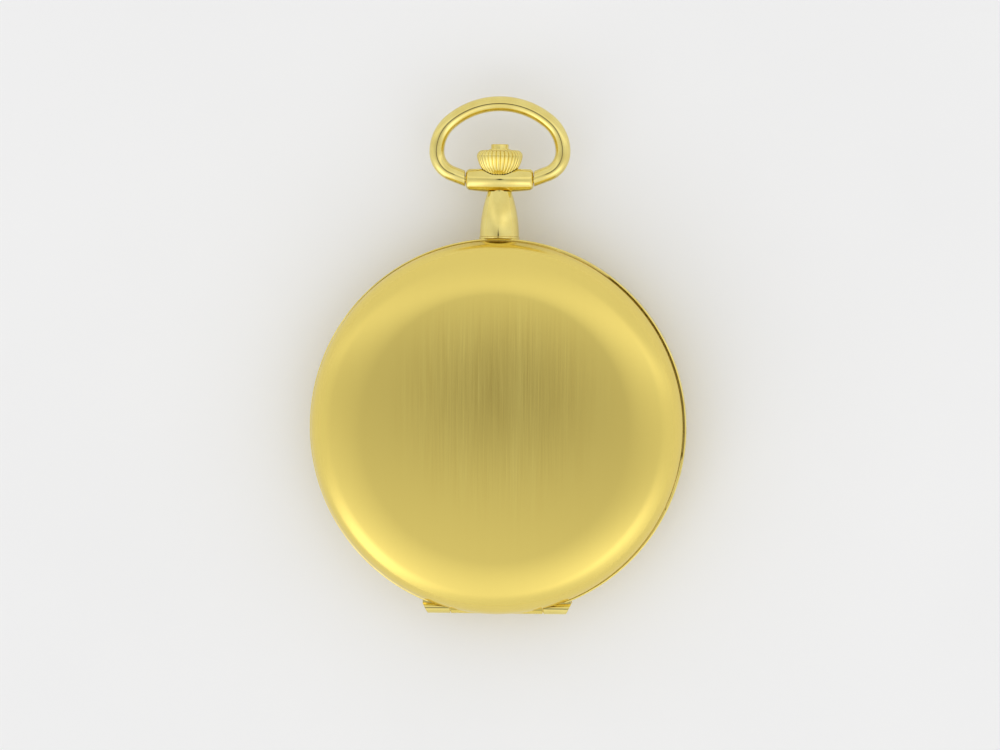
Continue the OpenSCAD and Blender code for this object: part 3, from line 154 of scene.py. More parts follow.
# Crystal, dial and barrel
CRYSTAL_R = 21.3
CRYSTAL_T = 0.9
CRYSTAL_DOME = 349.0
BEZEL_LIP_R = 20.9
SUB_DIAL = (0.0, -10.2)
SUB_SUNK = 0.12
MINUTES_R = (19.75, 20.5)
SECONDS_R = (4.0, 4.45)
PRINT_T = 0.015
BARREL_P = (-6.6251, 3.825)


# Outlines

def arc(cx, cy, r, a1, a2, steps):
    """Points along an arc, its angles counted from the first axis."""
    angles = [math.radians(a1 + (a2 - a1) * i / steps) for i in range(steps + 1)]
    return [(cx + r * math.cos(a), cy + r * math.sin(a)) for a in angles]


def dome_profile(rim, shoulder, angle, inset, low_angle, haunch=None):
    """Outline of a domed cover above its seam, from the axis out to the angle at which it ends."""
    turn = math.radians(angle)
    arcs = [(rim - shoulder * math.sin(turn), -shoulder * math.cos(turn), shoulder, low_angle)]
    if haunch:
        radius, slope = haunch
        turn = math.radians(slope)
        arcs.append((arcs[0][0] - (radius - shoulder) * math.sin(turn),
                     arcs[0][1] - (radius - shoulder) * math.cos(turn), radius, slope))
    cx, cy, r, _ = arcs[-1]
    start = math.degrees(math.asin(cx / (DOME_R - r)))
    top = cy - (DOME_R - r) * math.cos(math.radians(start))
    points = arc(0, top, DOME_R - inset, 90, 90 - start, 14)
    points[0] = (0.0, points[0][1])
    for cx, cy, r, end in arcs[::-1]:
        points += arc(cx, cy, r - inset, 90 - start, 90 - end, 32)[1:]
        start = end
    return points


def meet(a, ra, b, rb):
    """Where two circles cross, on the left of the way from the first to the second."""
    a, b = Vector(a), Vector(b)
    way = b - a
    along = (ra * ra - rb * rb + way.length_squared) / (2 * way.length)
    aside = math.sqrt(ra * ra - along * along)
    way.normalize()
    return tuple(a + way * along + Vector((-way.y, way.x)) * aside)


# Heights and places that follow from the sizes
DOME_H = dome_profile(COVER_R, SHOULDER_R, RIM_ANGLE, 0.0, RIM_ANGLE, HAUNCH)[0][1]
BACK_SEAM = DOME_H - DOME_R + math.sqrt(DOME_R ** 2 - FOOT_R ** 2)
FRONT_SEAM = BACK_SEAM + BAND_H
MID_Z = BACK_SEAM + BAND_H / 2
LEDGE_LOW = BACK_SEAM + 0.25
LEDGE_TOP = LEDGE_LOW + LEDGE_T
DUST_SEAM = LEDGE_LOW - DUST_T
FRONT_AXIS = FRONT_SEAM - AXIS_IN
BACK_AXIS = BACK_SEAM + AXIS_IN
CATCH_LOW = MID_Z + 0.75
CROWN_MID = CROWN_R - CROWN_EDGE_R
BOWL_CENTRE = meet((CROWN_BASE_R, 0), BOWL_R, (CROWN_MID, CROWN_BELLY), BOWL_R - CROWN_EDGE_R)
BOWL_LOW = math.degrees(math.atan2(-BOWL_CENTRE[1], CROWN_BASE_R - BOWL_CENTRE[0]))
BOWL_HIGH = math.degrees(math.atan2(CROWN_BELLY - BOWL_CENTRE[1], CROWN_MID - BOWL_CENTRE[0]))
SEAT_Z = MID_Z + 1.95
DIAL_TOP = SEAT_Z + 0.35
CRYSTAL_RIM = SEAT_Z + 1.26


# Meshes

def about_z(z, up=1):
    return lambda x, y, h: (x, y, z + up * h)


def about_y(y0):
    return lambda x, y, h: (x, y0 + h, MID_Z - y)


def about_x(y0, z0):
    return lambda x, y, h: (h, y0 + x, z0 + y)


class Shape:
    """Vertices in millimetres and faces, gathered into one mesh."""

    def __init__(self):
        self.verts, self.faces, self.finish = [], [], []

    def put(self, verts, faces, finish=0):
        first = len(self.verts)
        self.verts += verts
        self.faces += [[first + i for i in f] for f in faces]
        self.finish += [finish] * len(faces)

    def lathe(self, profile, place, closed=False, steps=ROUND, finish=0):
        """A turned form. The finish is one index, or one for each stretch of the profile."""
        rings, verts = [], []
        for r, h in profile:
            if r < 1e-6:
                rings.append([len(verts)] * steps)
                verts.append(place(0.0, 0.0, h))
            else:
                rings.append(list(range(len(verts), len(verts) + steps)))
                verts += [place(r * math.cos(t), r * math.sin(t), h)
                          for t in (2 * math.pi * k / steps for k in range(steps))]
        pairs = list(zip(rings, rings[1:] + rings[:1] if closed else rings[1:]))
        first = len(self.verts)
        self.verts += verts
        for n, (a, b) in enumerate(pairs):
            for k in range(steps):
                q = [a[k], a[(k + 1) % steps], b[(k + 1) % steps], b[k]]
                face = [first + v for i, v in enumerate(q) if v not in q[:i]]
                if len(face) > 2:
                    self.faces.append(face)
                    self.finish.append(finish if isinstance(finish, int) else finish[n])

    def prism(self, outline, h0, h1, place, finish=0):
        """A flat outline made solid between two heights."""
        n = len(outline)
        verts = [place(x, y, h) for h in (h0, h1) for x, y in outline]
        faces = [list(range(n))[::-1], list(range(n, 2 * n))]
        faces += [[i, (i + 1) % n, n + (i + 1) % n, n + i] for i in range(n)]
        self.put(verts, faces, finish)

    def block(self, lo, hi, finish=0):
        outline = [(lo[0], lo[1]), (hi[0], lo[1]), (hi[0], hi[1]), (lo[0], hi[1])]
        self.prism(outline, lo[2], hi[2], lambda x, y, h: (x, y, h), finish)


def smooth(me, angle=32):
    """Shades all but the sharp edges smooth."""
    me.shade_smooth()
    me.set_sharp_from_angle(angle=math.radians(angle))


def tidy(me, angle=32):
    """Merges doubles, points the faces outwards and shades them."""
    bm = bmesh.new()
    bm.from_mesh(me)
    bmesh.ops.remove_doubles(bm, verts=bm.verts, dist=1e-7)
    bmesh.ops.recalc_face_normals(bm, faces=bm.faces)
    bm.to_mesh(me)
    bm.free()
    smooth(me, angle)


def mesh_of(shape, name):
    me = bpy.data.meshes.new(name)
    me.from_pydata([Vector(v) * MM for v in shape.verts], [], shape.faces)
    me.polygons.foreach_set("material_index", shape.finish)
    tidy(me)
    return me


def baked(obj):
    """The object's mesh with its modifiers applied; the modifiers are then taken off."""
    graph = bpy.context.evaluated_depsgraph_get()
    graph.update()
    me = bpy.data.meshes.new_from_object(obj.evaluated_get(graph))
    obj.modifiers.clear()
    obj.data = me
    return obj


def stand(name, me, finishes=()):
    obj = bpy.data.objects.new(name, me)
    bpy.context.scene.collection.objects.link(obj)
    if finishes:
        me.materials.clear()
        for finish in finishes:
            me.materials.append(finish)
    return obj


def soften(obj, width, angle=30):
    """Breaks the sharp edges with a small bevel, in millimetres."""
    mod = obj.modifiers.new("broken edges", "BEVEL")
    mod.width = width * MM
    mod.segments = 2
    mod.limit_method = "ANGLE"
    mod.angle_limit = math.radians(angle)
    mod.harden_normals = False
    baked(obj)
    smooth(obj.data, 38)


def carve(obj, cutter):
    tool = stand("cutter", mesh_of(cutter, "cutter"))
    mod = obj.modifiers.new("carved", "BOOLEAN")
    mod.operation = "DIFFERENCE"
    mod.solver = "EXACT"
    mod.object = tool
    baked(obj)
    bpy.data.objects.remove(tool)
    smooth(obj.data)


def seat(obj, body, slot, *nodes):
    """Rides the piece on its body and hides the CAD nodes that it stands for."""
    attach(obj, body)
    if nodes:
        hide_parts(*nodes)
    return obj


def piece(name, shape, finishes, body, slot, nodes=()):
    return seat(stand(name, mesh_of(shape, name), finishes), body, slot, *nodes)


def refine(node, finish, slot, edge):
    """A copy of a CAD node with merged corners and broken edges, which stands for it."""
    source = frame["nodes"][node]
    me = source.data.copy()
    bm = bmesh.new()
    bm.from_mesh(me)
    bmesh.ops.remove_doubles(bm, verts=bm.verts, dist=2e-6)
    bmesh.ops.dissolve_limit(bm, angle_limit=math.radians(0.6), verts=bm.verts, edges=bm.edges)
    bm.to_mesh(me)
    bm.free()
    for layer in list(me.attributes):
        if layer.name == "custom_normal":
            me.attributes.remove(layer)
    smooth(me, 30)
    obj = stand(node + ".fine", me, [finish])
    me.polygons.foreach_set("material_index", [0] * len(me.polygons))
    if edge:
        soften(obj, edge)
    return seat(obj, body_of(source)[0], slot, node)


# Repeats and wires

def socket_id(tree, name):
    return next(s.identifier for s in tree.interface.items_tree if s.name == name and s.in_out == "INPUT")


def geometry_tree(name, inputs):
    """A new tree with its named inputs, a group input and a group output."""
    tree = bpy.data.node_groups.new(name, "GeometryNodeTree")
    tree.interface.new_socket("Geometry", in_out="OUTPUT", socket_type="NodeSocketGeometry")
    tree.interface.new_socket("Geometry", in_out="INPUT", socket_type="NodeSocketGeometry")
    for label, kind in inputs:
        tree.interface.new_socket(label, in_out="INPUT", socket_type=kind)
    return tree, tree.nodes.new("NodeGroupInput"), tree.nodes.new("NodeGroupOutput")


def ring_tree():
    """Copies of the incoming mesh, each turned further round the local Z axis."""
    tree, given, made = geometry_tree("ring_of_copies", [
        ("Copies", "NodeSocketInt"), ("Turn", "NodeSocketFloat"), ("Finish", "NodeSocketMaterial")])
    new, link = tree.nodes.new, tree.links.new
    points = new("GeometryNodeMeshLine")
    points.inputs["Offset"].default_value = (0, 0, 0)
    index = new("GeometryNodeInputIndex")
    times = new("ShaderNodeMath")
    times.operation = "MULTIPLY"
    turn = new("ShaderNodeCombineXYZ")
    copies = new("GeometryNodeInstanceOnPoints")
    real = new("GeometryNodeRealizeInstances")
    finish = new("GeometryNodeSetMaterial")
    link(given.outputs["Copies"], points.inputs["Count"])
    link(index.outputs[0], times.inputs[0])
    link(given.outputs["Turn"], times.inputs[1])
    link(times.outputs[0], turn.inputs["Z"])
    link(points.outputs["Mesh"], copies.inputs["Points"])
    link(given.outputs["Geometry"], copies.inputs["Instance"])
    link(turn.outputs[0], copies.inputs["Rotation"])
    link(copies.outputs[0], real.inputs[0])
    link(real.outputs[0], finish.inputs["Geometry"])
    link(given.outputs["Finish"], finish.inputs["Material"])
    link(finish.outputs[0], made.inputs[0])
    return tree


def wire_tree():
    """Round wire along the incoming line."""
    tree, given, made = geometry_tree("wire_along_line", [
        ("Radius", "NodeSocketFloat"), ("Sides", "NodeSocketInt"), ("Finish", "NodeSocketMaterial")])
    new, link = tree.nodes.new, tree.links.new
    line = new("GeometryNodeMeshToCurve")
    ring = new("GeometryNodeCurvePrimitiveCircle")
    skin = new("GeometryNodeCurveToMesh")
    skin.inputs["Fill Caps"].default_value = True
    real = new("GeometryNodeRealizeInstances")
    finish = new("GeometryNodeSetMaterial")
    link(given.outputs["Geometry"], line.inputs[0])
    link(given.outputs["Radius"], ring.inputs["Radius"])
    link(given.outputs["Sides"], ring.inputs["Resolution"])
    link(line.outputs[0], skin.inputs["Curve"])
    link(ring.outputs[0], skin.inputs["Profile Curve"])
    link(skin.outputs[0], real.inputs[0])
    link(real.outputs[0], finish.inputs["Geometry"])
    link(given.outputs["Finish"], finish.inputs["Material"])
    link(finish.outputs[0], made.inputs[0])
    return tree


RING, WIRE = ring_tree(), wire_tree()


def grown(name, me, tree, values):
    """The mesh run through a geometry tree, as a plain mesh object."""
    obj = stand(name, me)
    mod = obj.modifiers.new(tree.name, "NODES")
    mod.node_group = tree
    for label, value in values.items():
        mod[socket_id(tree, label)] = value
    return baked(obj)


def ring_of(name, shape, count, finish, place):
    """Copies of a shape all round the Z axis, then put in place."""
    values = {"Copies": count, "Turn": 2 * math.pi / count, "Finish": finish}
    obj = grown(name, mesh_of(shape, name), RING, values)
    obj.data.transform(place)
    tidy(obj.data)
    return obj


# Finishes

class Finish:
    """A material and short ways to add nodes to it. Patterns are laid out in millimetres."""

    def __init__(self, name, **fixed):
        self.mat = bpy.data.materials.new(name)
        self.mat.use_nodes = True
        self.tree = self.mat.node_tree
        self.shader = self.tree.nodes["Principled BSDF"]
        for label, value in fixed.items():
            self.shader.inputs[label.replace("_", " ")].default_value = value
        self.place = self.node("ShaderNodeTexCoord").outputs["Object"]

    def node(self, kind, settings=(), **inputs):
        """A new node. Its inputs are given by name, or as i0, i1 and so on by number."""
        n = self.tree.nodes.new(kind)
        for label, value in settings:
            setattr(n, label, value)
        for label, value in inputs.items():
            numbered = label[0] == "i" and label[1:].isdigit()
            self.feed(n.inputs[int(label[1:]) if numbered else label.replace("_", " ")], value)
        return n

    def feed(self, socket, value):
        if isinstance(value, bpy.types.NodeSocket):
            self.tree.links.new(value, socket)
        else:
            socket.default_value = value

    def noise(self, stretch, detail=2.0, rough=0.5):
        """Noise whose cells have these sizes, in millimetres."""
        spread = self.node("ShaderNodeMapping", Vector=self.place, Scale=[1000.0 / s for s in stretch])
        return self.node("ShaderNodeTexNoise", Vector=spread.outputs[0], Scale=1.0, Detail=detail,
                         Roughness=rough).outputs["Fac"]

    def polar(self, centre):
        """Distance from a point in the XY plane, in millimetres, and the angle round it."""
        mm = self.node("ShaderNodeMapping", Vector=self.place, Scale=(1000, 1000, 1000),
                       Location=(-centre[0], -centre[1], 0))
        axes = self.node("ShaderNodeSeparateXYZ", Vector=mm.outputs[0])
        flat = self.node("ShaderNodeCombineXYZ", X=axes.outputs[0], Y=axes.outputs[1])
        far = self.node("ShaderNodeVectorMath", [("operation", "LENGTH")], i0=flat.outputs[0])
        turn = self.math("ARCTAN2", axes.outputs[1], axes.outputs[0])
        return far.outputs["Value"], turn

    def rings(self, centre, width):
        """Grain turned round a point."""
        far, turn = self.polar(centre)
        line = self.node("ShaderNodeCombineXYZ", X=self.math("DIVIDE", far, width),
                         Y=self.math("MULTIPLY", turn, 0.6))
        return self.node("ShaderNodeTexNoise", Vector=line.outputs[0], Scale=1.0, Detail=3.0,
                         Roughness=0.6).outputs["Fac"]

    def rays(self, centre, count):
        """Grain that runs out from a point."""
        far, turn = self.polar(centre)
        spin = self.node("ShaderNodeCombineXYZ", X=self.math("COSINE", turn), Y=self.math("SINE", turn),
                         Z=self.math("MULTIPLY", far, 0.02))
        return self.node("ShaderNodeTexNoise", Vector=spin.outputs[0], Scale=count, Detail=4.0,
                         Roughness=0.7).outputs["Fac"]

    def math(self, operation, *values):
        n = self.node("ShaderNodeMath", [("operation", operation)])
        for socket, value in zip(n.inputs, values):
            self.feed(socket, value)
        return n.outputs[0]

    def spread(self, value, low, high, start=0.3, end=0.7):
        return self.node("ShaderNodeMapRange", Value=value, From_Min=start, From_Max=end,
                         To_Min=low, To_Max=high).outputs[0]

    def colour(self, value, low, high):
        mix = self.node("ShaderNodeMix", [("data_type", "RGBA")], i0=value, i6=(*low, 1), i7=(*high, 1))
        self.feed(self.shader.inputs["Base Color"], mix.outputs[2])

    def roughness(self, value, low, high):
        self.feed(self.shader.inputs["Roughness"], self.spread(value, low, high))

    def bump(self, value, height, after=None):
        """Relief of this height, in millimetres, on top of an earlier one."""
        bump = self.node("ShaderNodeBump", Height=value, Distance=height * MM, Strength=1.0)
        if after:
            self.feed(bump.inputs["Normal"], after)
        self.feed(self.shader.inputs["Normal"], bump.outputs[0])
        return bump.outputs[0]


GOLD_LOW = (0.80, 0.62, 0.152)
GOLD_HIGH = (0.88, 0.715, 0.197)


def satin_gold():
    """Fine straight brushing along Y, which fades out towards the shoulder and spreads gloss across it."""
    f = Finish("satin_gold", Metallic=1.0, Anisotropic=0.68)
    across = f.node("ShaderNodeVectorTransform", [("vector_type", "VECTOR"), ("convert_from", "OBJECT"),
                                                  ("convert_to", "WORLD")], Vector=(1, 0, 0))
    f.feed(f.shader.inputs["Tangent"], across.outputs[0])
    broad = f.noise((1.6, 60, 30), 3.0, 0.55)
    fine = f.noise((0.17, 26, 6), 3.0, 0.6)
    hair = f.noise((0.11, 9, 3), 2.0, 0.6)
    far, _ = f.polar((0, 3))
    inside = f.spread(far, 1.0, 0.12, 9.0, 16.0)
    lines = f.math("MULTIPLY_ADD", f.math("ADD", fine, hair), 0.4, f.math("MULTIPLY", broad, 0.2))
    seen = f.math("MULTIPLY_ADD", f.math("SUBTRACT", lines, 0.5), inside, 0.5)
    f.colour(f.spread(seen, 0, 1, 0.38, 0.62), GOLD_LOW, GOLD_HIGH)
    f.roughness(seen, 0.19, 0.25)
    low = f.bump(f.math("MULTIPLY", fine, inside), 0.0022)
    f.bump(f.math("MULTIPLY", hair, inside), 0.0016, after=low)
    return f.mat


def polished_gold(name="polished_gold", low=(0.80, 0.65, 0.2), high=(0.88, 0.75, 0.265), rough=(0.05, 0.1)):
    """Polished gold looks paler than the brushed covers, with faint scratches of wear."""
    f = Finish(name, Metallic=1.0)
    cloud = f.noise((2.5, 2.5, 2.5), 3.0)
    scratch = f.noise((0.5, 0.05, 0.3), 3.0, 0.7)
    f.colour(f.spread(cloud, 0, 1), low, high)
    f.roughness(scratch, *rough)
    f.bump(scratch, 0.0003)
    return f.mat


def seam_painted_shade():
    """Gold of the groove round the front cover, with near-black painted shade where the seam stands open."""
    f = Finish("seam_painted_shade", Metallic=1.0)
    _, turn = f.polar((0, 0))
    aside = f.math("ABSOLUTE", f.math("SUBTRACT", turn, SEAM_TURN))
    # painted shade: near black round the turn where the seam stands open, fading to gold elsewhere
    f.colour(f.spread(aside, 0, 1, 0.62, 0.85), (0.03, 0.02, 0.01), GOLD_LOW)
    f.roughness(f.noise((0.5, 0.5, 0.5)), 0.4, 0.55)
    return f.mat


def steel(name, low, high, rough, centre=None, grain=0.08):
    f = Finish(name, Metallic=1.0)
    lines = f.rings(centre, grain) if centre else f.noise((0.05, 1.6, 0.3), 3.0, 0.6)
    f.colour(f.spread(lines, 0, 1), low, high)
    f.roughness(lines, *rough)
    f.bump(lines, 0.0008)
    return f.mat


def sunburst(name, low, high, centre):
    f = Finish(name, Metallic=1.0)
    rays = f.rays(centre, 30.0)
    f.colour(f.spread(rays, 0, 1), low, high)
    f.roughness(rays, 0.16, 0.34)
    f.bump(rays, 0.002)
    return f.mat


def striped_nickel():
    """Broad polished waves across the plates, each with its own fine grain."""
    f = Finish("nickel_plate", Metallic=1.0)
    turned = f.node("ShaderNodeMapping", Vector=f.place, Scale=(1000, 1000, 1000),
                    Rotation=(0, 0, math.radians(32)))
    x = f.node("ShaderNodeSeparateXYZ", Vector=turned.outputs[0]).outputs[0]
    width = 1.9
    wave = f.math("PINGPONG", x, width / 2)
    saw = f.math("WRAP", x, width, 0.0)
    grain = f.noise((0.06, 0.9, 0.3), 3.0, 0.6)
    f.colour(f.spread(saw, 0, 1, 0.0, width), (0.56, 0.55, 0.53), (0.80, 0.79, 0.76))
    f.roughness(grain, 0.14, 0.28)
    low = f.bump(wave, 0.02)
    f.bump(grain, 0.0008, after=low)
    return f.mat


def pearled_nickel():
    """Overlapping turned spots on the main plate."""
    f = Finish("nickel_pearled", Metallic=1.0)
    cells = f.node("ShaderNodeMapping", Vector=f.place, Scale=(620, 620, 0))
    spot = f.node("ShaderNodeTexVoronoi", [("feature", "F1")], Vector=cells.outputs[0], Scale=1.0,
                  Randomness=0.12).outputs["Distance"]
    rings = f.math("SINE", f.math("MULTIPLY", spot, 60.0))
    f.colour(f.spread(spot, 0, 1, 0.0, 0.7), (0.80, 0.79, 0.76), (0.58, 0.57, 0.55))
    f.roughness(rings, 0.18, 0.3)
    f.bump(rings, 0.0008)
    return f.mat


def enamel():
    """White enamel, faintly uneven under a clear gloss; the small dial is grooved in circles."""
    f = Finish("dial_enamel", Specular_IOR_Level=0.5, Coat_Weight=0.6, Coat_Roughness=0.06)
    cloud = f.noise((6, 6, 6), 3.0)
    f.colour(f.spread(cloud, 0, 1), (0.91, 0.90, 0.86), (0.95, 0.94, 0.91))
    f.roughness(f.noise((0.8, 0.8, 0.8)), 0.24, 0.34)
    far, _ = f.polar(SUB_DIAL)
    inside = f.math("LESS_THAN", far, 4.3)
    groove = f.math("SINE", f.math("MULTIPLY", far, 2 * math.pi / 0.16))
    low = f.bump(f.math("MULTIPLY", inside, groove), 0.004)
    f.bump(cloud, 0.004, after=low)
    return f.mat


def glass():
    f = Finish("crystal_glass", Transmission_Weight=1.0, IOR=1.5, Specular_IOR_Level=0.5)
    film = f.noise((5, 5, 5), 2.0)
    f.colour(f.spread(film, 0, 1), (0.985, 0.995, 0.995), (0.995, 1.0, 1.0))
    f.roughness(film, 0.0, 0.015)
    return f.mat


def ruby():
    f = Finish("ruby", Transmission_Weight=0.35, IOR=1.76, Coat_Weight=0.4)
    depth = f.noise((0.4, 0.4, 0.4), 2.0)
    f.colour(f.spread(depth, 0, 1), (0.42, 0.008, 0.04), (0.62, 0.02, 0.09))
    f.roughness(depth, 0.04, 0.1)
    return f.mat


def ink():
    f = Finish("dial_print", Specular_IOR_Level=0.4)
    grain = f.noise((0.15, 0.15, 0.15), 2.0)
    f.colour(f.spread(grain, 0, 1), (0.012, 0.012, 0.014), (0.03, 0.03, 0.034))
    f.roughness(grain, 0.35, 0.5)
    return f.mat


SATIN = satin_gold()
POLISH = polished_gold()
# gold with painted shade in the front seam's groove
SEAM_SHADE = seam_painted_shade()
MARKER = polished_gold("marker_gold", (0.84, 0.64, 0.2), (0.9, 0.72, 0.26), (0.08, 0.16))
SPRING = steel("spring_steel", (0.42, 0.43, 0.45), (0.55, 0.56, 0.58), (0.18, 0.32))
SCREW = steel("screw_steel", (0.10, 0.14, 0.36), (0.16, 0.22, 0.48), (0.12, 0.22))
BLUED = steel("blued_steel", (0.02, 0.035, 0.2), (0.04, 0.07, 0.32), (0.1, 0.2))
BRASS = steel("wheel_brass", (0.76, 0.56, 0.22), (0.84, 0.65, 0.28), (0.14, 0.26), (0.0, 0.0), 0.1)
RING_BRASS = steel("ring_brass", (0.70, 0.52, 0.22), (0.80, 0.62, 0.28), (0.2, 0.34), (0.0, 0.0), 0.14)
RATCHET = sunburst("sunburst_steel", (0.52, 0.53, 0.55), (0.68, 0.69, 0.71), BARREL_P)
NICKEL = striped_nickel()
PEARLED = pearled_nickel()
ENAMEL = enamel()
GLASS = glass()
RUBY = ruby()
INK = ink()


# Covers

def flattened(profile, top):
    """The same outline with everything above a height cut off flat."""
    low = [p for p in profile if p[1] < top - 1e-4]
    before = profile[len(profile) - len(low) - 1]
    share = (top - before[1]) / (low[0][1] - before[1])
    edge = before[0] + (low[0][0] - before[0]) * share
    return [(0.0, top), (edge * 0.5, top), (edge - 0.06, top), (edge + 0.03, top - 0.01)] + low


def cover(flat=None):
    """Closed outline of a cover, cut flat at a height if one is given: satin outside, polished inside."""
    outer = dome_profile(COVER_R, SHOULDER_R, RIM_ANGLE, 0.0, RIM_ANGLE - 1.2, HAUNCH)
    inner = dome_profile(COVER_R, SHOULDER_R, RIM_ANGLE, COVER_T, 60.0, HAUNCH)
    inner = [p for p in inner if p[1] > RIM_H]
    if flat:
        outer, inner = flattened(outer, flat), flattened(inner, flat - COVER_T)
    land = COVER_R - RIM_LAND
    rim = [(COVER_R - 0.03, 0.07), (COVER_R - 0.12, 0.05), (COVER_R - 0.13, 0.0), (land + 0.05, 0.0),
           (land, 0.05), (land, RIM_H - 0.04), (land + 0.04, RIM_H), (inner[-1][0], RIM_H)]
    profile = outer + rim + inner[::-1]
    finish = [0] * (len(outer) - 1) + [1] * (len(profile) - len(outer))
    return profile, finish


def barrel_tube(shape, x0, x1, z, bore, slant=0.0, finish=1):
    """A hinge knuckle with its bore; the end at x1 may lean inwards towards the edge of the case."""
    b = 0.06
    s = 1 if x1 > x0 else -1

    def place(x, y, h):
        lean = slant * (HINGE_R - x) / (2 * HINGE_R) if abs(h - x1) < 2 * b else 0.0
        return (h - s * lean, HINGE_Y + x, z + y)

    shape.lathe([(bore, x0), (HINGE_R - b, x0), (HINGE_R, x0 + s * b), (HINGE_R, x1 - s * b),
                 (HINGE_R - b, x1), (bore, x1)], place, closed=True, steps=64, finish=finish)


def leaves(shape, z, seam, up):
    """The cover's two knuckles and the webs that join them to its rim."""
    web = sorted((z + up * 0.42, seam + up * 0.02))
    foot = sorted((seam, seam + up * 0.5))
    for s in (-1, 1):
        x0, x1 = s * LEAF_X[0], s * LEAF_X[1]
        barrel_tube(shape, x0, x1, z, PIN_R + 0.03)
        lo, hi = min(x0, x1) + 0.02, max(x0, x1) - 0.02
        shape.block((lo, HINGE_Y - 0.28, web[0]), (hi, HINGE_Y + HINGE_R - 0.1, web[1]), 1)
        shape.block((lo, HINGE_Y - 0.1, foot[0]), (hi, HINGE_Y + 1.5, foot[1]), 1)


def front_cover():
    """The cover lies a little to the left on its hinge, so its seam stands open on the right only."""
    shape = Shape()
    profile, finish = cover()
    share, aside = 0.996, (-0.13, -0.05)
    shape.lathe(profile, lambda x, y, h: (share * x + aside[0], share * y + aside[1], FRONT_SEAM + h),
                finish=finish)
    leaves(shape, FRONT_AXIS, FRONT_SEAM, 1)
    wall = CATCH_Y + 0.3
    lip = [(CATCH_Y, CATCH_LOW + 0.05), (CATCH_Y + 0.12, CATCH_LOW), (wall + 0.02, CATCH_LOW),
           (wall + 0.02, CATCH_LOW + 0.3), (CATCH_Y, CATCH_LOW + 0.26)]
    for s in (-1, 1):
        lo, hi = s * CATCH_X - CATCH_HALF, s * CATCH_X + CATCH_HALF
        shape.block((lo, wall, CATCH_LOW), (hi, wall + 0.4, FRONT_SEAM + 0.4), 1)
        shape.block((lo, wall, FRONT_SEAM), (hi, wall + 1, FRONT_SEAM + 0.5), 1)
        shape.prism(lip, lo, hi, lambda x, y, h: (h, x, y), 1)
    piece("front_cover.shell", shape, [SATIN, POLISH], "front_cover", "satin_gold", ["front_cover"])


def back_cover():
    """The back cover ends in a flat, on which the watch lies."""
    shape = Shape()
    profile, finish = cover(BACK_SEAM)
    shape.lathe(profile, about_z(BACK_SEAM, -1), finish=finish)
    leaves(shape, BACK_AXIS, BACK_SEAM, -1)
    piece("back_cover.shell", shape, [SATIN, POLISH], "back_cover", "satin_gold", ["back_cover"])


def dust_cover():
    """The inner lid, with its flange and its one knuckle."""
    shape = Shape()
    shoulder, angle = 2.6, 70.0
    outer = dome_profile(DUST_R, shoulder, angle, 0.0, angle - 1)
    inner = dome_profile(DUST_R, shoulder, angle, DUST_T, angle - 5)
    rim = [(DUST_R + 0.05, 0.0), (FLANGE_R - 0.05, 0.0), (FLANGE_R, -0.05), (FLANGE_R, -DUST_T + 0.05),
           (FLANGE_R - 0.05, -DUST_T), (DUST_R - DUST_T + 0.04, -DUST_T), (DUST_R - DUST_T, -DUST_T + 0.04)]
    shape.lathe(outer + rim + inner[::-1], about_z(DUST_SEAM, -1))
    barrel_tube(shape, -MIDDLE_X, MIDDLE_X, BACK_AXIS, PIN_R + 0.03, finish=0)
    wall = HINGE_Y + PIN_R + 0.1
    low = BACK_SEAM + 0.03
    half = MIDDLE_X - 0.02
    shape.block((-half, wall, low), (half, -FLANGE_R + 0.3, low + DUST_T))
    shape.block((-half, wall + 0.01, low), (half, wall + 0.3, BACK_AXIS - 0.02))
    piece("dust_cover.shell", shape, [POLISH], "dust_cover", "polished_gold", ["dust_cover"])


# Middle band and hinges

def band_profile():
    """Closed outline of the band above the back seam, and a finish for each stretch, with painted shade in
    the groove.
    """
    ledge, under = LEDGE_TOP - BACK_SEAM, LEDGE_LOW - BACK_SEAM
    low_r, high_r = 0.15, 0.2
    lip, floor_h, step = CASE_R - SEAM_LIP, BAND_H - SEAM_DEPTH, BAND_H - 0.52
    flange = FLANGE_R + 0.15
    profile = [(SPRING_BORE, ledge), (LEDGE_R, ledge), (LEDGE_R, under), (flange, under), (flange, 0.0)]
    profile += arc(CASE_R - low_r, low_r, low_r, -90, 0, 6)
    profile += arc(CASE_R - high_r, BAND_H - high_r, high_r, 0, 80, 6)
    before = len(profile)
    profile += [(lip, BAND_H - 0.03), (lip, floor_h), (lip - SEAM_W, floor_h), (lip - SEAM_W, BAND_H)]
    profile += [(BEZEL_BORE, BAND_H), (BEZEL_BORE, step), (SPRING_BORE, step)]
    # finish 1 marks the groove's stretches, which take the painted shade
    return profile, [1 if before <= n < before + 3 else 0 for n in range(len(profile))]


def open_seam(x, y, h):
    """The groove is deep only where the seam stands open, and runs out on both sides."""
    rising = SEAM_DEPTH - 0.03
    if math.hypot(x, y) > CASE_R - SEAM_LIP - SEAM_W - 0.06 and abs(h - BAND_H + SEAM_DEPTH) < 0.1:
        aside = abs(math.atan2(y, x) - SEAM_TURN)
        h += rising * min(1.0, max(0.0, (aside - 0.55) / 0.3))
    return (x, y, BACK_SEAM + h)


def carve_block(obj, lo, hi):
    cut = Shape()
    cut.block(lo, hi)
    carve(obj, cut)


def carve_round(obj, profile, place, steps=96):
    """Turns the outline, closed at both ends on the axis, and cuts it out."""
    cut = Shape()
    cut.lathe([(0.0, profile[0][1])] + profile + [(0.0, profile[-1][1])], place, steps=steps)
    carve(obj, cut)


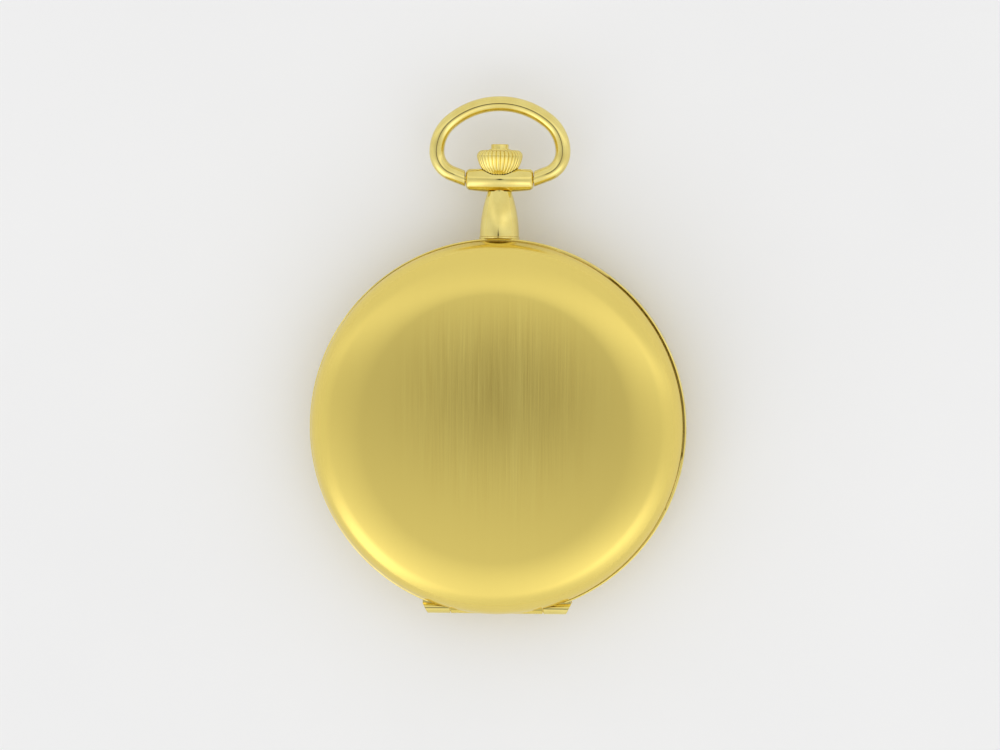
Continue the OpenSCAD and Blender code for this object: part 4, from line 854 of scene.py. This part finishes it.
def case_band():
    """The band with its notch for the hinges, the slots of the catches and the stem's bore."""
    shape = Shape()
    profile, finish = band_profile()
    shape.lathe(profile, open_seam, closed=True, finish=finish)
    # the second finish paints shade into the seam's groove
    obj = stand("case_band.fine", mesh_of(shape, "case_band.fine"), [POLISH, SEAM_SHADE])
    half, middle = HINGE_END + 0.1, MIDDLE_X + 0.1
    carve_block(obj, (-half, NOTCH_Y - 5, BACK_SEAM - 1), (half, NOTCH_Y, FRONT_SEAM + 1))
    carve_block(obj, (-middle, NOTCH_Y - 1, BACK_SEAM - 1), (middle, NOTCH_Y + 4, BACK_AXIS + 0.4))
    slot = CATCH_HALF + 0.1
    for s in (-1, 1):
        carve_block(obj, (s * CATCH_X - slot, CATCH_Y - 0.05, CATCH_LOW - 0.1),
                    (s * CATCH_X + slot, CATCH_Y + 0.8, CATCH_LOW + 3.9))
    for r, low, high in ((SPIGOT_R, -1.2, 2.0), (SPIGOT_R + 0.4, -5.0, -1.1)):
        carve_round(obj, [(r, CASE_R + low), (r, CASE_R + high)], about_y(0.0), 64)
    seat(obj, "case", "polished_gold", "case_band")


def band_knuckles():
    """The fixed knuckles of both hinges; the dust cover's knuckle takes the middle of the back one."""
    shape = Shape()
    web = 0.38
    y0, y1 = HINGE_Y + 0.5, NOTCH_Y + 0.2
    for z in (FRONT_AXIS, BACK_AXIS):
        for s in (-1, 1):
            barrel_tube(shape, s * FIXED_X[0], s * FIXED_X[1], z, PIN_R, HINGE_SLANT, 0)
            lo, hi = sorted((s * (FIXED_X[0] + 0.02), s * (FIXED_X[1] - 0.1)))
            shape.block((lo, y0, z - web), (hi, y1, z + web))
    half = MIDDLE_X - 0.02
    barrel_tube(shape, -MIDDLE_X, MIDDLE_X, FRONT_AXIS, PIN_R, 0.0, 0)
    shape.block((-half, y0, FRONT_AXIS - web), (half, y1, FRONT_AXIS + web))
    piece("case_band.knuckles", shape, [POLISH], "case", "polished_gold")


def hinge_pin(node, z):
    """A pin with chamfered ends, which stop short inside the outer knuckles."""
    shape = Shape()
    end, b = HINGE_END - 1.0, 0.08
    shape.lathe([(0.0, -end), (PIN_R - b, -end), (PIN_R, -end + b), (PIN_R, end - b), (PIN_R - b, end),
                 (0.0, end)], about_x(HINGE_Y, z), steps=48)
    piece(node + ".fine", shape, [POLISH], "case", "polished_gold", [node])


# Pendant, crown and bow

def pendant_neck():
    """The neck with its collar, its spigot in the band and the sleeve round the stem in the head."""
    foot = CASE_R + 0.01

    def saddle(x, y, h):
        """The foot follows the round band."""
        return (x, math.sqrt(foot * foot - x * x) if h < 0 else CASE_R + h, MID_Z - y)

    start, steps = COLLAR_H + 0.04, 40
    heights = [start + (NECK_LEN - start) * i / steps for i in range(steps + 1)]
    side = [(NECK_R - NECK_ARC + math.sqrt(NECK_ARC ** 2 - h * h), h) for h in heights]
    collar = [(STEM_BORE, -1.0), (COLLAR_R - 0.03, -1.0), (COLLAR_R, 0.05), (COLLAR_R, 0.14),
              (COLLAR_R - 0.04, COLLAR_H - 0.01), (NECK_R - 0.06, COLLAR_H)]
    shape = Shape()
    shape.lathe(collar + side + [(STEM_BORE, NECK_LEN)], saddle, closed=True, steps=160)
    low, high = CASE_R - 1.1, CASE_R + 0.5
    shape.lathe([(STEM_BORE, low), (SPIGOT_R - 0.05, low), (SPIGOT_R, low + 0.05), (SPIGOT_R, high),
                 (STEM_BORE, high)], about_y(0.0), closed=True, steps=96)
    low, high, sleeve = CASE_R + NECK_LEN - 0.2, CASE_R + NECK_LEN + 0.4, STEM_BORE + 0.07
    shape.lathe([(STEM_BORE, low), (sleeve, low), (sleeve, high), (STEM_BORE, high)], about_y(0.0),
                closed=True, steps=96)
    piece("pendant_neck.fine", shape, [POLISH], "case", "polished_gold", ["pendant_neck"])


def pendant_head():
    """The cross-bar narrows towards its ends, most of all from front to back."""
    swell = HEAD_R - HEAD_END_R
    half = HEAD_HALF - HEAD_CORNER
    side = [(HEAD_R - swell * (t / 20) ** 2, t * half / 20) for t in range(-20, 21)]
    right = arc(HEAD_END_R - HEAD_CORNER, half, HEAD_CORNER, 0, 90, 10)[1:]
    left = [(r, -h) for r, h in right[::-1]]
    shape = Shape()
    shape.lathe([(0.0, -HEAD_HALF)] + left + side + right + [(0.0, HEAD_HALF)],
                lambda x, y, h: (h, BOW_AXIS + x, MID_Z + y * (1 - 0.3 * (h / HEAD_HALF) ** 2)), steps=128)
    obj = stand("pendant_head.fine", mesh_of(shape, "pendant_head.fine"), [POLISH])
    carve_block(obj, (-6, HEAD_TOP, MID_Z - 4), (6, HEAD_TOP + 3, MID_Z + 4))
    room = 0.08
    bowl = [(r, CROWN_Y + h) for r, h in crown_bowl(room)]
    carve_round(obj, [(CROWN_BASE_R, CROWN_Y - room)] + bowl, about_y(0.0))
    carve_round(obj, [(STEM_BORE, BOW_AXIS - 3), (STEM_BORE, BOW_AXIS + 1)], about_y(0.0))
    hole = BOW_PIN_R + 0.05
    for s in (-1, 1):
        carve_round(obj, [(hole, s * (HEAD_HALF - 1.3)), (hole, s * (HEAD_HALF + 1))],
                    about_x(BOW_AXIS, MID_Z), 48)
    soften(obj, 0.05)
    seat(obj, "case", "polished_gold", "pendant_head")


def bow_path():
    """The bow's line from one end inside the head to the other, above the bow's axis: tangent arcs."""
    rise, aside = BOW_RISE - BOW_WAIST, BOW_HALF - BOW_SIDE_R
    top_r = (aside ** 2 + rise ** 2 - BOW_SIDE_R ** 2) / (2 * (rise - BOW_SIDE_R))
    split = 90 - math.degrees(math.atan2(aside, top_r - rise))
    low = arc(BOW_HALF - BOW_LOW_R, BOW_WAIST, BOW_LOW_R, BOW_SLOPE - 90, 0, 24)
    inside = HEAD_HALF / 2
    fall = (low[0][0] - inside) * math.tan(math.radians(BOW_SLOPE))
    right = [(inside, low[0][1] - fall)] + low
    right += arc(aside, BOW_WAIST, BOW_SIDE_R, 0, split, 30)[1:]
    right += arc(0, BOW_RISE - top_r, top_r, split, 90, 24)[1:]
    return right + [(-x, y) for x, y in right[::-1][1:]]


def cut_ends(me, end_x):
    """Cuts the wire square beside the head on both sides and closes the cuts."""
    bm = bmesh.new()
    bm.from_mesh(me)
    bmesh.ops.remove_doubles(bm, verts=bm.verts, dist=1e-7)
    for s in (-1, 1):
        side = [f for f in bm.faces if f.calc_center_median().y < (BOW_AXIS + 6) * MM
                and f.calc_center_median().x * s > 0]
        verts = {v for f in side for v in f.verts}
        edges = {e for f in side for e in f.edges}
        bmesh.ops.bisect_plane(bm, geom=[*verts, *edges, *side], plane_co=(s * end_x * MM, 0, 0),
                               plane_no=(s, 0, 0), clear_inner=True, dist=1e-9)
    bmesh.ops.holes_fill(bm, edges=[e for e in bm.edges if e.is_boundary], sides=0)
    bm.to_mesh(me)
    bm.free()


def bow():
    """Bent round wire, and the two pins on which it swings in the head."""
    path = bow_path()
    me = bpy.data.meshes.new("bow.line")
    me.from_pydata([Vector((x, BOW_AXIS + y, MID_Z)) * MM for x, y in path],
                   [(i, i + 1) for i in range(len(path) - 1)], [])
    obj = grown("bow.fine", me, WIRE, {"Radius": WIRE_R * MM, "Sides": 48, "Finish": POLISH})
    end_x = HEAD_HALF + 0.1
    cut_ends(obj.data, end_x)
    soften(obj, 0.06, angle=40)
    pins = Shape()
    low, high, b = HEAD_HALF - 1.1, end_x + 0.4, 0.07
    for s in (-1, 1):
        pins.lathe([(0.0, s * low), (BOW_PIN_R - b, s * low), (BOW_PIN_R, s * (low + b)),
                    (BOW_PIN_R, s * high), (0.0, s * high)], about_x(BOW_AXIS, MID_Z), steps=48)
    bm = bmesh.new()
    bm.from_mesh(obj.data)
    bm.from_mesh(mesh_of(pins, "bow.pins"))
    bm.to_mesh(obj.data)
    bm.free()
    tidy(obj.data, 38)
    seat(obj, "bow", "polished_gold", "bow")


def crown_bowl(room=0.0):
    """Outline of the bowl between the crown's base and its rounded edge, with room left round it."""
    return arc(*BOWL_CENTRE, BOWL_R + room, BOWL_LOW, BOWL_HIGH, 12)


def crown_profile():
    """Outline of the crown from its base to the ring on its top, and the share of the ribs' depth."""
    bowl = crown_bowl()
    edge = arc(CROWN_MID, CROWN_BELLY, CROWN_EDGE_R, BOWL_HIGH, 90, 16)[1:]
    land = CROWN_MID - RING_OUT_R - 0.04
    top = [(CROWN_MID - land * t / 4, CROWN_H - 0.02 * t / 4) for t in range(1, 5)]
    share = [1.0] * (len(bowl) + len(edge)) + [0.8, 0.6, 0.35, 0.0]
    return bowl + edge + top, share


def crown():
    """One wedge with half a groove on each side of its rib, repeated round the axis."""
    ribbed, share = crown_profile()
    columns = 10
    half = math.pi / RIBS
    seat_h, ring_h = BUTTON_SEAT - CROWN_Y, CROWN_H + RING_H
    bore = BUTTON_R + 0.05
    smooth = [(RING_OUT_R, CROWN_H), (RING_OUT_R - 0.02, ring_h - 0.04), (RING_OUT_R - 0.06, ring_h),
              (bore + 0.05, ring_h), (bore, ring_h - 0.05), (bore, seat_h), (CROWN_BORE, seat_h),
              (CROWN_BORE, 0.0), (CROWN_BASE_R - 0.35, 0.0)]
    rows = []
    for n, (r, h) in enumerate(ribbed):
        a, b = ribbed[max(n - 1, 0)], ribbed[min(n + 1, len(ribbed) - 1)]
        way = (Vector(b) - Vector(a)).normalized()
        rows.append((r, h, Vector((way.y, -way.x)) * share[n] * RIB_DEPTH * r * half))
    rows += [(r, h, Vector((0, 0))) for r, h in smooth]
    verts, faces = [], []
    for r, h, depth in rows:
        for k in range(columns + 1):
            u = 2 * k / columns - 1
            dip = abs(u) ** RIB_POWER
            x = r - depth.x * dip
            verts.append((x * math.cos(u * half), x * math.sin(u * half), h - depth.y * dip))
    n, m = len(rows), columns + 1
    for i in range(n):
        j = (i + 1) % n
        faces += [[i * m + k, i * m + k + 1, j * m + k + 1, j * m + k] for k in range(columns)]
    shape = Shape()
    shape.put(verts, faces)
    place = Matrix.Translation(Vector((0, CROWN_Y, MID_Z)) * MM) @ Matrix.Rotation(-math.pi / 2, 4, "X")
    obj = ring_of("crown.fine", shape, RIBS, POLISH, place)
    seat(obj, "crown", "polished_gold", "crown")


def crown_button():
    """The button with its dished top, its rod and the rod's cross pin."""
    top = CROWN_TOP + BUTTON_OUT
    low = BUTTON_SEAT + 0.65
    edge_r = 0.12
    dish = [(0.0, top - 0.07), (0.6, top - 0.07), (0.86, top - 0.05), (0.93, top - 0.01), (0.98, top)]
    edge = arc(BUTTON_R - edge_r, top - edge_r, edge_r, 80, 0, 5)
    foot = [(BUTTON_R, low + 0.05), (BUTTON_R - 0.05, low), (0.0, low)]
    shape = Shape()
    shape.lathe(dish + [(BUTTON_R - 0.1, top)] + edge + foot, about_y(0.0), steps=96)
    end, b = ROD_PIN_Y - 0.3, 0.05
    shape.lathe([(0.0, end), (ROD_R - b, end), (ROD_R, end + b), (ROD_R, low + 0.02), (0.0, low + 0.02)],
                about_y(0.0), steps=48)
    half, b = 1.5, 0.06
    shape.lathe([(0.0, -half), (ROD_PIN_R - b, -half), (ROD_PIN_R, b - half), (ROD_PIN_R, half - b),
                 (ROD_PIN_R - b, half), (0.0, half)], about_x(ROD_PIN_Y, MID_Z), steps=32)
    piece("crown_button.fine", shape, [POLISH], "button", "polished_gold", ["crown_button"])


# Crystal, bezel and dial

def crystal():
    """A thin domed glass whose rim is broken on both sides."""
    def sag(r):
        return CRYSTAL_DOME - math.sqrt(CRYSTAL_DOME ** 2 - r * r)

    radii = [0, 3, 6, 9, 12, 15, 17, 19, 20.5]
    apex = CRYSTAL_RIM + 0.02 + sag(CRYSTAL_R)
    top = [(r, apex + CRYSTAL_T - sag(r)) for r in radii + [CRYSTAL_R - 0.18]]
    under = [(r, apex - sag(r)) for r in radii + [CRYSTAL_R - 0.1]]
    edge = top[-1][1]
    rim = [(CRYSTAL_R - 0.04, edge - 0.06), (CRYSTAL_R, edge - 0.2), (CRYSTAL_R, CRYSTAL_RIM + 0.08),
           (CRYSTAL_R - 0.05, CRYSTAL_RIM + 0.03)]
    shape = Shape()
    shape.lathe(top + rim + under[::-1], about_z(0.0), steps=192)
    piece("crystal.fine", shape, [GLASS], "case", "crystal_glass", ["crystal"])


def bezel():
    """The ring round the crystal, from its lip above the dial to its rounded top."""
    low, step = DIAL_TOP + 0.03, FRONT_SEAM - 0.3
    ring, wall = RING_R + 0.05, BEZEL_BORE - 0.015
    profile = [(BEZEL_LIP_R, low), (ring, low), (ring, step), (wall - 0.015, step), (wall, step + 0.04),
               (wall, FRONT_SEAM + 0.55), (wall - 0.045, FRONT_SEAM + 0.68)]
    profile += [(CRYSTAL_R + out, CRYSTAL_RIM + rise) for out, rise in (
        (0.6, 0.68), (0.46, 0.78), (0.38, 0.84), (0.25, 0.895), (0.1, 0.895), (0.05, 0.85), (0.05, 0.0))]
    profile.append((BEZEL_LIP_R, CRYSTAL_RIM))
    shape = Shape()
    shape.lathe(profile, about_z(0.0), closed=True)
    piece("bezel.fine", shape, [POLISH], "case", "polished_gold", ["bezel"])


def tick(r0, r1, width, z):
    shape = Shape()
    shape.block((-width / 2, r0, z), (width / 2, r1, z + PRINT_T))
    return shape


def dial_print():
    """The minute track and the small seconds track."""
    z = DIAL_TOP - 0.002
    inner, outer = MINUTES_R
    small_in, small_out = SECONDS_R
    large = Matrix.Identity(4)
    small = Matrix.Translation(Vector((*SUB_DIAL, -SUB_SUNK)) * MM)
    for name, shape, count, place in (
            ("dial.minutes", tick(inner, outer, 0.07, z), 60, large),
            ("dial.fives", tick(inner, outer, 0.2, z), 12, large),
            ("dial.seconds", tick(small_in, small_out, 0.05, z), 60, small),
            ("dial.tens", tick(small_in - 0.25, small_out, 0.1, z), 12, small)):
        seat(ring_of(name, shape, count, INK, place), "case", "dial_enamel")
    tracks = Shape()
    for r, width, centre, low in ((outer, 0.06, (0, 0), z), (inner, 0.05, (0, 0), z),
                                  (small_out, 0.05, SUB_DIAL, z - SUB_SUNK)):
        r0, r1, high = r - width / 2, r + width / 2, low + PRINT_T
        tracks.lathe([(r0, low), (r1, low), (r1, high), (r0, high)],
                     lambda x, y, h, c=centre: (x + c[0], y + c[1], h), closed=True, steps=192)
    piece("dial.tracks", tracks, [INK], "case", "dial_enamel")


front_cover()
back_cover()
dust_cover()
case_band()
band_knuckles()
hinge_pin("front_hinge_pin", FRONT_AXIS)
hinge_pin("back_hinge_pin", BACK_AXIS)
pendant_neck()
pendant_head()
bow()
crown()
crown_button()
crystal()
bezel()
dial_print()

# Pieces that keep the CAD node's form: node, finish, slot and width of its broken edges

DRESSED = [
    ("winding_stem", SPRING, "spring_steel", 0.04), ("winding_pinion", SPRING, "spring_steel", 0.03),
    ("sliding_pinion", SPRING, "spring_steel", 0.03), ("latch", SPRING, "spring_steel", 0.04),
    ("latch_springs", SPRING, "spring_steel", 0.03), ("lift_spring", SPRING, "spring_steel", 0.03),
    ("movement_ring", RING_BRASS, "ring_brass", 0.06), ("case_screws", SCREW, "screw_steel", 0.04),
    ("dial", ENAMEL, "dial_enamel", 0.04), ("hour_markers", MARKER, "marker_gold", 0.06),
    ("hour_hand", BLUED, "blued_steel", 0.03), ("minute_hand", BLUED, "blued_steel", 0.03),
    ("seconds_hand", BLUED, "blued_steel", 0.015), ("main_plate", PEARLED, "nickel_plate", 0.06),
    ("barrel_bridge", NICKEL, "nickel_plate", 0.07), ("train_bridge", NICKEL, "nickel_plate", 0.07),
    ("balance_cock", NICKEL, "nickel_plate", 0.07), ("pallet_bridge", NICKEL, "nickel_plate", 0.04),
    ("bridge_screws", SCREW, "screw_steel", 0.04), ("jewels", RUBY, "ruby", 0.03),
    ("barrel", BRASS, "wheel_brass", 0.02), ("barrel_drum", BRASS, "wheel_brass", 0.04),
    ("mainspring", SPRING, "spring_steel", 0.0), ("barrel_arbor", SPRING, "spring_steel", 0.03),
    ("ratchet_wheel", RATCHET, "sunburst_steel", 0.04), ("ratchet_screw", SCREW, "screw_steel", 0.05),
    ("crown_wheel", RATCHET, "sunburst_steel", 0.04), ("crown_wheel_core", SCREW, "screw_steel", 0.04),
    ("click", SPRING, "spring_steel", 0.03), ("click_spring", SPRING, "spring_steel", 0.02),
    ("centre_wheel", BRASS, "wheel_brass", 0.02), ("third_wheel", BRASS, "wheel_brass", 0.02),
    ("fourth_wheel", BRASS, "wheel_brass", 0.02), ("escape_wheel", SPRING, "spring_steel", 0.015),
    ("pallet_fork", SPRING, "spring_steel", 0.02), ("balance_wheel", BRASS, "wheel_brass", 0.03),
    ("hairspring", BLUED, "blued_steel", 0.0), ("hairspring_stud", SPRING, "spring_steel", 0.03),
    ("regulator", SPRING, "spring_steel", 0.02), ("cannon_pinion", SPRING, "spring_steel", 0.02),
    ("hour_wheel", BRASS, "wheel_brass", 0.02), ("minute_wheel", BRASS, "wheel_brass", 0.02),
    ("setting_wheel", SPRING, "spring_steel", 0.02), ("setting_lever", SPRING, "spring_steel", 0.03),
    ("yoke", SPRING, "spring_steel", 0.03)]
for node, finish, slot_name, edge in DRESSED:
    refine(node, finish, slot_name, edge)


# Floor, light and camera

# Soft patches in the room's light: place on the sky (X and Y), size, turn in degrees, change of brightness
ROOM_LEVEL = 0.855
SCREENS = (
    ((-0.05, 0.02), (0.06, 0.09), 0, -0.9),       # dark spot straight above
    ((-0.1, 0.0), (0.65, 0.22), -21, -0.26),      # shaded ceiling
    ((-0.63, -0.62), (0.32, 0.26), 13, 0.96),     # screen at the lower left
    ((0.44, -0.54), (0.36, 0.23), 2, 0.65),       # screen at the lower right
    ((0.5, 0.25), (0.47, 0.12), 2, 0.31),         # faint screen at the upper right
    ((-0.48, 0.28), (0.5, 0.12), -14, 0.26),      # faint screen at the upper left
)


def floor():
    """A pale square floor, a hair below the watch."""
    half, low = 1600.0, -0.02
    me = bpy.data.meshes.new("floor")
    me.from_pydata([Vector((x * half, y * half, low)) * MM for x, y in ((-1, -1), (1, -1), (1, 1), (-1, 1))],
                   [], [(0, 1, 2, 3)])
    f = Finish("pale_floor", Specular_IOR_Level=0.2)
    cloud = f.noise((40, 40, 40), 3.0)
    f.colour(f.spread(cloud, 0, 1), (0.905, 0.905, 0.905), (0.92, 0.92, 0.92))
    f.roughness(cloud, 0.7, 0.8)
    obj = stand("floor", me, [f.mat])


def surround():
    """Soft room: an even level, darker overhead, with soft bright screens round the sides."""
    world = bpy.data.worlds.new("soft_room")
    bpy.context.scene.world = world
    world.use_nodes = True
    tree = world.node_tree

    def node(kind, operation, *given):
        n = tree.nodes.new(kind)
        if operation:
            n.operation = operation
        for socket, value in zip(n.inputs, given):
            if isinstance(value, bpy.types.NodeSocket):
                tree.links.new(value, socket)
            else:
                socket.default_value = value
        return n

    way = node("ShaderNodeTexCoord", None).outputs["Generated"]
    level = ROOM_LEVEL
    for place, size, turn, amount in SCREENS:
        near = node("ShaderNodeMapping", None, way, (*place, 0), (0, 0, math.radians(turn)), (*size, 1000))
        near.vector_type = "TEXTURE"
        far = node("ShaderNodeVectorMath", "DOT_PRODUCT", near.outputs[0], near.outputs[0]).outputs["Value"]
        fall = node("ShaderNodeMath", "POWER", math.exp(-1), far).outputs[0]
        level = node("ShaderNodeMath", "MULTIPLY_ADD", fall, amount, level).outputs[0]
    back = tree.nodes["Background"]
    tree.links.new(node("ShaderNodeMath", "MAXIMUM", level, 0.0).outputs[0], back.inputs["Color"])


def camera():
    """Nearly straight above, tilted a little to the right and back."""
    data = bpy.data.cameras.new("camera")
    data.lens = 135
    data.sensor_width = 36
    data.clip_start, data.clip_end = 0.01, 20
    obj = bpy.data.objects.new("camera", data)
    tilt, toward, roll = math.radians(4.5), math.radians(25), math.radians(0.3)
    distance = 496.0
    back = Vector((math.sin(tilt) * math.cos(toward), math.sin(tilt) * math.sin(toward), math.cos(tilt)))
    up = Vector((-math.sin(roll), math.cos(roll), 0))
    right = up.cross(back).normalized()
    up = back.cross(right)
    turn = Matrix((right, up, back)).transposed()
    target = Vector((0.32, 6.93, 8.2)) * MM
    obj.matrix_world = Matrix.Translation(target + back * distance * MM) @ turn.to_4x4()
    bpy.context.scene.collection.objects.link(obj)
    bpy.context.scene.camera = obj


floor()
surround()
camera()
bpy.context.scene.view_settings.view_transform = "Standard"
